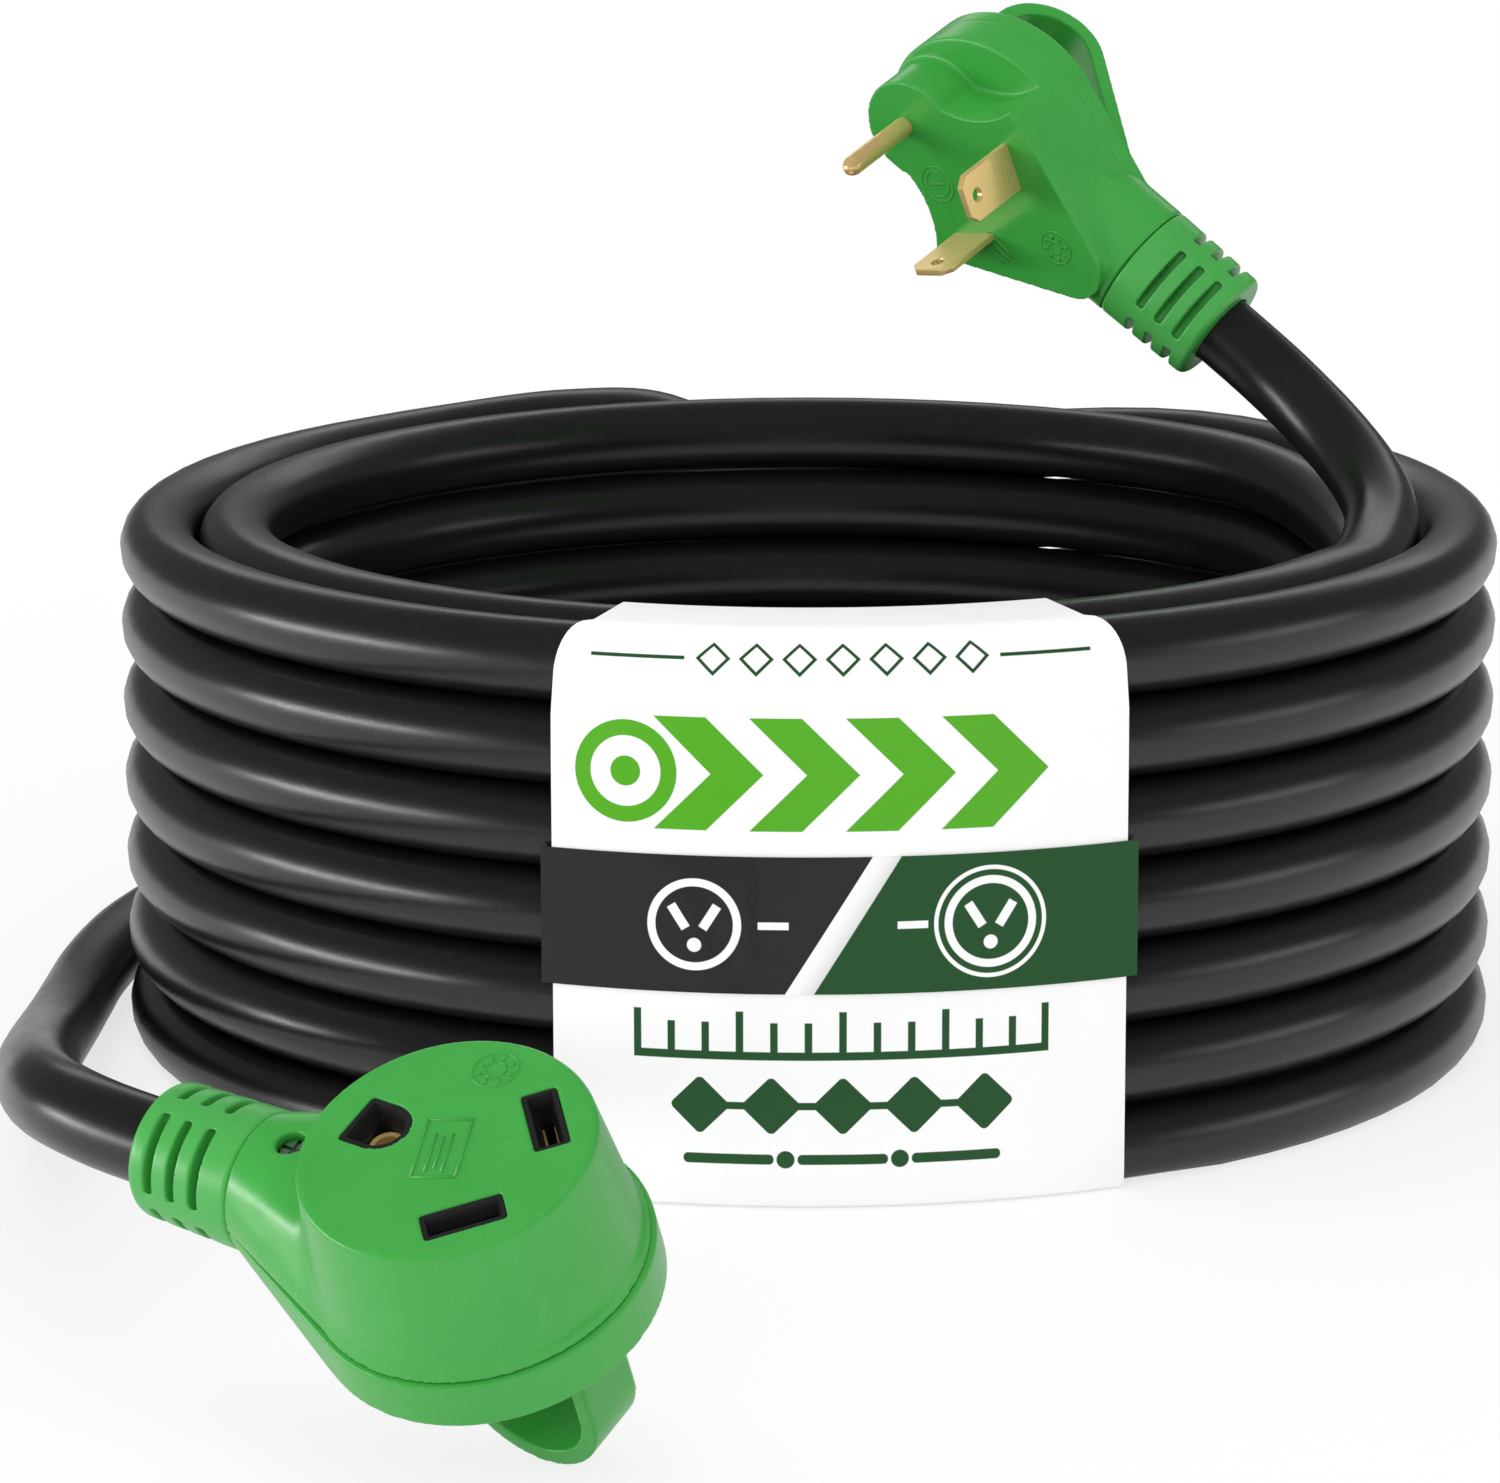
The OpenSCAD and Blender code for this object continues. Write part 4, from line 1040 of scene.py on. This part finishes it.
def windows(less, z0, z1):
    """Prisms of the two blade windows and the ground window, drawn in by less."""
    out = []
    for side in (-1, 1):
        out.append(moved(prism(rounded_rect(3.3 - less, 7.65 - less, 0.25), z0, z1), blade_window(side)))
    out.append(at_ground(prism(ground_plan(5.7 - less, 5.9 - less), z0, z1)))
    return out


def ground_plan(half, flat):
    """Outline of the ground window: round towards the face's middle, flat towards the neck."""
    arc = circle(half, 40, 0, 0, math.pi / 2, math.pi, False)
    return arc + [(flat, -half), (flat, half)]


def connector_cover():
    """The connector's rear shell: wide back, lower half of the neck and the pull handle."""
    head = HEADS["connector"]
    depth = head["body_h"] + head["cover_h"]
    strap, opening = pull_loop(head)
    hollow = prism(drop(head["r"] - WALL, 8.4, 30.3), -depth + WALL, -head["body_h"] + 2)
    cuts = [opening, half_space(head["neck_z"] + 0.08, True), hollow]
    cuts += neck_bore(head) + screw_recesses(head, depth)
    return moulded(carved([flared_neck(head, False), strap], cuts), 0.48, 3)


def contact_block():
    """Black block whose three pads show in the windows, each with a sloping mouth round its slot."""
    back = -HEADS["connector"]["deck"]
    base = post(0, 0, back, -WALL - FIT, BLOCK_R)
    pads = windows(0.08, -WALL - 1, -0.35)
    slot_half, clip_half, slot_l = 1.3, 2.3, 6.4
    cuts = []
    for side in (-1, 1):
        mouth = sloped(prism(rounded_rect(2.55, 6.9, 0.15), 0.2, -3.2), 1.35 / 2.55, 6.1 / 6.9)
        slot = block((-slot_half, -slot_l, back - 1), (slot_half, slot_l, -3))
        clip_room = block((-clip_half, -slot_l, back - 1), (clip_half, slot_l, back + 14.4))
        cuts += [moved(shape, blade_window(side)) for shape in (mouth, slot, clip_room)]
    cuts.append(at_ground(sloped(prism(ground_plan(4.9, 5.1), 0.2, -4.0), 0.72, 0.72, 0.1)))
    cuts.append(at_ground(prism(ground_plan(3.55, 3.7), -3.9, -6.5)))
    cuts.append(post(GROUND_OUT, 0, back - 1, -6, 3.6, n=48))
    return carved([base] + pads, cuts)


def sloped(mouth, x_scale, y_scale, shift=0.0):
    """Draws in the lower end of a slot's mouth."""
    for v in mouth.verts:
        if v.co.z < -1:
            v.co.x = v.co.x * x_scale + shift
            v.co.y *= y_scale
    return mouth


def terminal_tab(lo, hi, screw_x):
    """Brass tab with the hole of its terminal screw."""
    deck = HEADS["plug"]["deck"]
    return cut_shape(block(lo, hi), [post(screw_x, 0, -deck - 3, -deck + 1, 2.1, n=32)])


def blade(side):
    """Flat brass blade with a chamfered tip, a hole and its terminal tab behind the face."""
    deck = HEADS["plug"]["deck"]
    half, chamfer, hole_r, hole_in = BLADE_W / 2, 2.2, 1.6, 4.2
    outline = [
        (-half, -deck), (half, -deck), (half, BLADE_L - chamfer), (half - chamfer, BLADE_L),
        (chamfer - half, BLADE_L), (-half, BLADE_L - chamfer),
    ]
    # Stands the outline up: its x runs along y and its y along z
    stand = Matrix(((0, 0, 1, 0), (1, 0, 0, 0), (0, 1, 0, 0), (0, 0, 0, 1)))
    plate = moved(prism(outline, -BLADE_T / 2, BLADE_T / 2), stand)
    hole = post(0, 0, -2, 2, hole_r, n=48)
    moved(hole, Matrix.Translation((0, 0, BLADE_L - hole_in)) @ Matrix.Rotation(math.pi / 2, 4, "Y"))
    obj = eased(carved([plate], [hole]), 0.22, 2, 40)
    with_shapes(obj, [terminal_tab((-10.5, -5, -deck - BLADE_T), (1.2, 5, -deck), -6.5)])
    place = Matrix.Translation((BLADE_OUT, side * BLADE_OUT, 0)) @ Matrix.Rotation(side * math.pi / 4, 4, "Z")
    obj.data.transform(place)
    return obj


def ground_pin():
    """Brass pin with a shoulder in the carrier, a necked root, a long round tip and its terminal tab."""
    deck = HEADS["plug"]["deck"]
    shoulder_r, root_r, root_top, tip_l = PIN_R + 0.2, PIN_R - 0.15, 0.7, 3.4
    straight_top = PIN_L - tip_l
    profile = [(0, -deck), (shoulder_r, -deck), (shoulder_r, -0.2)]
    profile += [(root_r, -0.2), (root_r, root_top), (PIN_R, root_top + 0.15), (PIN_R, straight_top)]
    for a in (math.radians(d) for d in range(8, 90, 8)):
        profile.append((PIN_R * math.cos(a) ** 0.9, straight_top + tip_l * math.sin(a)))
    profile.append((0, PIN_L))
    pin = as_object(moved(turned(profile, 64), Matrix.Translation((-GROUND_OUT, 0, 0))))
    lo, hi = (-GROUND_OUT, -4.4, -deck - BLADE_T), (-GROUND_OUT + 11.5, 4.4, -deck)
    return with_shapes(pin, [terminal_tab(lo, hi, 7.5 - GROUND_OUT)])


# ---- Label ----


def from_label_mid(co):
    """Angle about the coil's axis from the label's middle, between minus and plus a half turn."""
    return (math.atan2(co.y, co.x) - LABEL_MID + math.pi) % (2 * math.pi) - math.pi


def label_uv(bm):
    """UV map in hundreds of millimetres: round the coil from the label's middle, and up the card."""
    off_print = 200.0
    uv = bm.loops.layers.uv.verify()
    for face in bm.faces:
        for loop in face.loops:
            co = loop.vert.co
            r = math.hypot(co.x, co.y)
            a = from_label_mid(co)
            if co.z <= TOP_Z:
                up = co.z if r > MID_R + 3 else off_print
            elif r > COIL_R:
                up = TOP_Z + CARD_BEND * math.atan2(co.z - TOP_Z, r - COIL_R)
            else:
                up = TOP_Z + CARD_BEND * math.pi / 2 + COIL_R - r
            loop[uv].uv = (a * CARD_R * 0.01, up * 0.01)


def sector(profile, half_angle, steps):
    """A closed profile of (radius, height) spun about the coil's axis, both ways from the label's middle."""
    bm = bmesh.new()
    start = LABEL_MID - half_angle
    verts = [bm.verts.new((r * math.cos(start), r * math.sin(start), z)) for r, z in profile]
    edges = [bm.edges.new(pair) for pair in zip(verts, verts[1:] + verts[:1])]
    bmesh.ops.spin(
        bm, geom=verts + edges, cent=(0, 0, 0), axis=(0, 0, 1), angle=2 * half_angle, steps=steps,
        use_merge=False,
    )
    return bm


def narrow_top(bm):
    """Rounds the card's outline where it turns over the top of the coil."""
    full = TOP_Z - CORNER_Z + CARD_BEND * math.pi / 2
    for v in bm.verts:
        r = math.hypot(v.co.x, v.co.y)
        if v.co.z < CORNER_Z or r < INNER_R + 1:
            continue
        run = v.co.z - CORNER_Z
        if v.co.z > TOP_Z and r > COIL_R:
            run = TOP_Z - CORNER_Z + CARD_BEND * math.atan2(v.co.z - TOP_Z, r - COIL_R)
        if r <= COIL_R:
            run = full
        cut = CORNER_CUT * (1 - math.sqrt(max(0.0, 1 - min(1.0, run / full) ** 2)))
        a = from_label_mid(v.co) * (1 - cut / (math.radians(LABEL_HALF) * CARD_R))
        v.co.x, v.co.y = r * math.cos(LABEL_MID + a), r * math.sin(LABEL_MID + a)


def card_sleeve():
    """The card: up the front of the coil, over its two outer columns, over the inner turns and underneath."""
    bend, foot_r, crease = CARD_BEND, INNER_R, 1.0
    shelf = LOW_Z + TURN_PITCH + bend
    path = [(CARD_R - crease, 0.0), (CARD_R - 0.3, 0.3), (CARD_R, crease)]
    path += [(CARD_R, crease + (TOP_Z - crease) * k / 12) for k in range(1, 13)]
    path += circle(bend, 10, COIL_R, TOP_Z, 0, math.pi / 2, False)[1:]
    path += circle(bend, 10, MID_R, TOP_Z, math.pi / 2, math.pi / 2, False)
    path += [(MID_R - bend, shelf + 2), (foot_r + bend, shelf)]
    path += circle(bend, 8, foot_r + bend, shelf - bend, math.pi / 2, math.pi / 2, False)[1:]
    path += [(foot_r, crease), (foot_r + 0.3, 0.3), (foot_r + crease, 0.0)]
    bm = sector(path, math.radians(LABEL_HALF), 64)
    bmesh.ops.recalc_face_normals(bm, faces=bm.faces)
    probe = max(bm.faces, key=lambda f: f.calc_center_median().xy.length)
    if probe.normal.dot(probe.calc_center_median().xy.to_3d()) < 0:
        bmesh.ops.reverse_faces(bm, faces=bm.faces)
    narrow_top(bm)
    label_uv(bm)
    obj = as_object(bm)
    wall = obj.modifiers.new("card", "SOLIDIFY")
    wall.thickness = CARD_T
    wall.offset = -1.0
    return applied(obj)


def printed_belt():
    """The belt, a little wider than the card and just clear of it."""
    inner, outer = CARD_R + BELT_GAP, CARD_R + BELT_GAP + BELT_T
    path = [(inner, BELT_Z), (outer, BELT_Z), (outer, BELT_Z + BELT_H), (inner, BELT_Z + BELT_H)]
    bm = sector(path, math.radians(LABEL_HALF + BELT_OVER), 72)
    bmesh.ops.holes_fill(bm, edges=[e for e in bm.edges if e.is_boundary], sides=8)
    bmesh.ops.recalc_face_normals(bm, faces=bm.faces)
    label_uv(bm)
    return as_object(bm)


# ---- Settings ----


class ShoreCordSettings(bpy.types.PropertyGroup):
    """Sizes and colours of the shore power cord."""

    cord_sides: IntProperty(
        name="Cord Sides", description="Number of sides of the cord's tube", default=28, min=8, max=48
    )
    jacket_colour: FloatVectorProperty(
        name="Jacket", description="Colour of the cord's jacket", subtype="COLOR",
        default=(0.0075, 0.0075, 0.0078),
    )
    body_colour: FloatVectorProperty(
        name="Housings", description="Colour of the plug and the connector", subtype="COLOR",
        default=(0.040, 0.335, 0.047),
    )
    card_colour: FloatVectorProperty(
        name="Card", description="Colour of the card sleeve", subtype="COLOR", default=(0.92, 0.92, 0.92)
    )
    print_bright: FloatVectorProperty(
        name="Bright Print", description="Colour of the large printed shapes", subtype="COLOR",
        default=(0.085, 0.39, 0.013),
    )
    print_dark: FloatVectorProperty(
        name="Dark Print", description="Colour of the small printed shapes", subtype="COLOR",
        default=(0.010, 0.072, 0.017),
    )
    lamp_power: FloatProperty(
        name="Lamp Power", description="Power of the main lamp", default=15.0, min=0.0, unit="POWER"
    )
    floor_colour: FloatVectorProperty(
        name="Floor", description="Colour of the floor", subtype="COLOR", default=(0.93, 0.93, 0.93)
    )


# ---- Operators ----


class SHORECORD_OT_camera(bpy.types.Operator):
    """Places the camera in front of the coil"""

    bl_idname = "shorecord.camera"
    bl_label = "Camera"

    def execute(self, context):
        data = bpy.data.cameras.new("camera")
        camera = bpy.data.objects.new("camera", data)
        context.scene.collection.objects.link(camera)
        camera.location = (Vector(CAMERA_AT) - MODEL_MID) * MM
        camera.rotation_euler = (math.pi / 2 - CAMERA_DIP, 0, 0)
        data.sensor_fit = "HORIZONTAL"
        data.sensor_width = 36
        data.lens = LENS_MM
        data.shift_x, data.shift_y = (px / FRAME_PX for px in SHIFT_PX)
        data.clip_start, data.clip_end = 0.05, 50
        context.scene.camera = camera
        return {"FINISHED"}


class SHORECORD_OT_cord(bpy.types.Operator):
    """Winds the cord from the plug, through the coil, to the connector"""

    bl_idname = "shorecord.cord"
    bl_label = "Cord"

    def execute(self, context):
        sides = context.scene.shore_cord.cord_sides
        obj = as_object(cord_tube(cord_route(), sides))
        nodes = ["cord_coil", "cord_plug_tail", "cord_connector_tail"]
        finished(obj, "cord", COIL_PLACE, "jacket", nodes, sharp=60)
        return {"FINISHED"}


class SHORECORD_OT_plug(bpy.types.Operator):
    """Moulds the plug's housing, rear cover with its pull handle, and strain relief"""

    bl_idname = "shorecord.plug"
    bl_label = "Plug Mouldings"

    def execute(self, context):
        place = PLACES["plug"]
        finished(plug_housing(), "plug_front_shell", place, "body_plastic", ["plug_housing"])
        finished(plug_cover(), "plug_back_shell", place, "body_plastic", ["plug_rear_cover"])
        finished(strain_relief(HEADS["plug"]), "plug_boot", place, "boot_rubber", ["plug_strain_relief"])
        return {"FINISHED"}


class SHORECORD_OT_plug_contacts(bpy.types.Operator):
    """Cuts the plug's two blades and turns its ground pin"""

    bl_idname = "shorecord.plug_contacts"
    bl_label = "Plug Contacts"

    def execute(self, context):
        place = PLACES["plug"]
        finished(blade(1), "line_blade_piece", place, "brass", ["plug_line_blade"], sharp=18)
        finished(blade(-1), "neutral_blade_piece", place, "brass", ["plug_neutral_blade"], sharp=18)
        finished(ground_pin(), "ground_pin_piece", place, "brass", ["plug_ground_pin"], sharp=40)
        return {"FINISHED"}


class SHORECORD_OT_connector(bpy.types.Operator):
    """Moulds the connector's housing, rear cover with its pull handle, strain relief and contact block"""

    bl_idname = "shorecord.connector"
    bl_label = "Connector Mouldings"

    def execute(self, context):
        place = PLACES["connector"]
        finished(connector_housing(), "connector_front_shell", place, "body_plastic", ["connector_housing"])
        finished(connector_cover(), "connector_back_shell", place, "body_plastic", ["connector_rear_cover"])
        boot = strain_relief(HEADS["connector"])
        finished(boot, "connector_boot", place, "boot_rubber", ["connector_strain_relief"])
        nodes = ["connector_contact_block"]
        finished(contact_block(), "connector_block", place, "block_plastic", nodes, sharp=30)
        return {"FINISHED"}


class SHORECORD_OT_label(bpy.types.Operator):
    """Wraps the card sleeve and its belt round the front of the coil"""

    bl_idname = "shorecord.label"
    bl_label = "Label"

    def execute(self, context):
        finished(card_sleeve(), "card_wrap", COIL_PLACE, "card", ["label_sleeve"], sharp=50)
        finished(printed_belt(), "belt_wrap", COIL_PLACE, "belt_print", ["label_band"], sharp=40)
        return {"FINISHED"}


class SHORECORD_OT_inner_parts(bpy.types.Operator):
    """Gives the screws, clamps, wires and inner contacts their finishes"""

    bl_idname = "shorecord.inner_parts"
    bl_label = "Inner Parts"

    def execute(self, context):
        slots = {row["node"]: row["material_slot"] for row in frame["record"]["subparts"]}
        for name, obj in frame["nodes"].items():
            if obj.hide_render:
                continue
            obj.data.materials.clear()
            obj.data.materials.append(finish(slots[name]))
        return {"FINISHED"}


class SHORECORD_OT_facts(bpy.types.Operator):
    bl_idname = "shorecord.facts"
    bl_label = "Cord Facts"

    def execute(self, context):
        path = [(p - MODEL_MID) * MM for p in cord_route()]
        (on_neck("plug", 63) - MODEL_MID) * MM
        return {"FINISHED"}


class SHORECORD_OT_stage(bpy.types.Operator):
    """Lays the pale floor and hangs the soft lamps"""

    bl_idname = "shorecord.stage"
    bl_label = "Stage"

    def execute(self, context):
        settings = context.scene.shore_cord
        self.floor(settings.floor_colour)
        # Name, place and size in metres, share of the power, and whether it shows in shiny surfaces
        for name, at, size, share, shines in (
            ("overhead softbox", (-0.25, -0.45, 1.5), (1.5, 1.2), 0.5, False),
            ("front softbox", (-0.1, -2.1, 0.9), (1.8, 1.0), 0.85, False),
            ("left low strip", (-1.5, -0.3, 0.14), (1.1, 0.15), 0.6, True),
            ("right strip", (1.5, -0.3, 0.35), (0.9, 0.3), 0.14, True),
            ("back strip", (0.1, 1.5, 0.9), (1.6, 0.3), 0.18, True),
        ):
            self.lamp(name, at, size, settings.lamp_power * share, shines)
        self.world(context.scene)
        context.scene.view_settings.view_transform = "Standard"
        return {"FINISHED"}

    def lamp(self, name, at, size, power, shines):
        """Hangs a soft lamp that looks at the coil's middle."""
        data = bpy.data.lights.new(name, "AREA")
        data.shape = "RECTANGLE"
        data.size, data.size_y = size
        data.energy = power
        lamp = bpy.data.objects.new(name, data)
        lamp.location = at
        lamp.visible_glossy = shines
        aim = Vector((0, 0, 0.06)) - Vector(at)
        lamp.rotation_euler = aim.to_track_quat("-Z", "Y").to_euler()
        bpy.context.scene.collection.objects.link(lamp)

    def floor(self, colour):
        """A round floor that takes soft shadows near the coil and is plain white further out."""
        bm = bmesh.new()
        bmesh.ops.create_circle(bm, cap_ends=True, segments=96, radius=FLOOR_RADIUS)
        bmesh.ops.translate(bm, verts=bm.verts, vec=(0, 0, -FLOOR_DROP))
        obj = as_object(bm, "floor")
        s = new_finish("pale floor")
        far = s.node("ShaderNodeVectorMath", {"operation": "LENGTH"}, {0: s.place()}, out="Value")
        away = ((far - WHITE_FROM) / WHITE_OVER).clip()
        camera, glossy, transmitted = s.rays("Camera", "Glossy", "Transmission")
        seen = camera.most(glossy * FLOOR_IN_GLOSS).most(transmitted)
        paint = {"Base Color": shade_of(colour), "Roughness": 0.9, "Specular IOR Level": 0.1}
        lit = s.node("ShaderNodeBsdfPrincipled", None, paint)
        white = s.node("ShaderNodeEmission", None, {"Color": WHITE, "Strength": 1.0})
        share = seen * (WHITE_SHARE + away * (1 - WHITE_SHARE))
        mixed = s.node("ShaderNodeMixShader", None, {0: share, 1: lit, 2: white})
        s.node("ShaderNodeOutputMaterial", None, {"Surface": mixed})
        obj.data.materials.append(s.owner)

    def world(self, scene):
        """White to the camera, and softer as light and in shiny surfaces."""
        scene.world = bpy.data.worlds.new("studio")
        s = Shade(scene.world)
        camera, glossy, transmitted = s.rays("Camera", "Glossy", "Transmission")
        strength = glossy * (SKY_IN_GLOSS - SKY) + SKY
        soft = s.node("ShaderNodeBackground", None, {"Color": WHITE, "Strength": strength})
        white = s.node("ShaderNodeBackground", None, {"Color": WHITE})
        mixed = s.node("ShaderNodeMixShader", None, {0: camera.most(transmitted), 1: soft, 2: white})
        s.node("ShaderNodeOutputWorld", None, {"Surface": mixed})


class SHORECORD_PT_panel(bpy.types.Panel):
    """Buttons and settings of the shore power cord"""

    bl_idname = "SHORECORD_PT_panel"
    bl_label = "Shore Power Cord"
    bl_space_type = "VIEW_3D"
    bl_region_type = "UI"
    bl_category = "Shore Cord"

    def draw(self, context):
        for operator in OPERATORS:
            self.layout.operator(operator.bl_idname)
        for name in ShoreCordSettings.__annotations__:
            self.layout.prop(context.scene.shore_cord, name)


OPERATORS = (
    SHORECORD_OT_camera,
    SHORECORD_OT_cord,
    SHORECORD_OT_plug,
    SHORECORD_OT_plug_contacts,
    SHORECORD_OT_connector,
    SHORECORD_OT_label,
    SHORECORD_OT_inner_parts,
    SHORECORD_OT_facts,
    SHORECORD_OT_stage,
)
CLASSES = (ShoreCordSettings,) + OPERATORS + (SHORECORD_PT_panel,)


def register():
    for cls in CLASSES:
        bpy.utils.register_class(cls)
    bpy.types.Scene.shore_cord = PointerProperty(type=ShoreCordSettings)


def unregister():
    del bpy.types.Scene.shore_cord
    for cls in reversed(CLASSES):
        bpy.utils.unregister_class(cls)


def main():
    register()
    for operator in OPERATORS:
        group, name = operator.bl_idname.split(".")
        getattr(getattr(bpy.ops, group), name)()


if __name__ == "__main__":
    main()
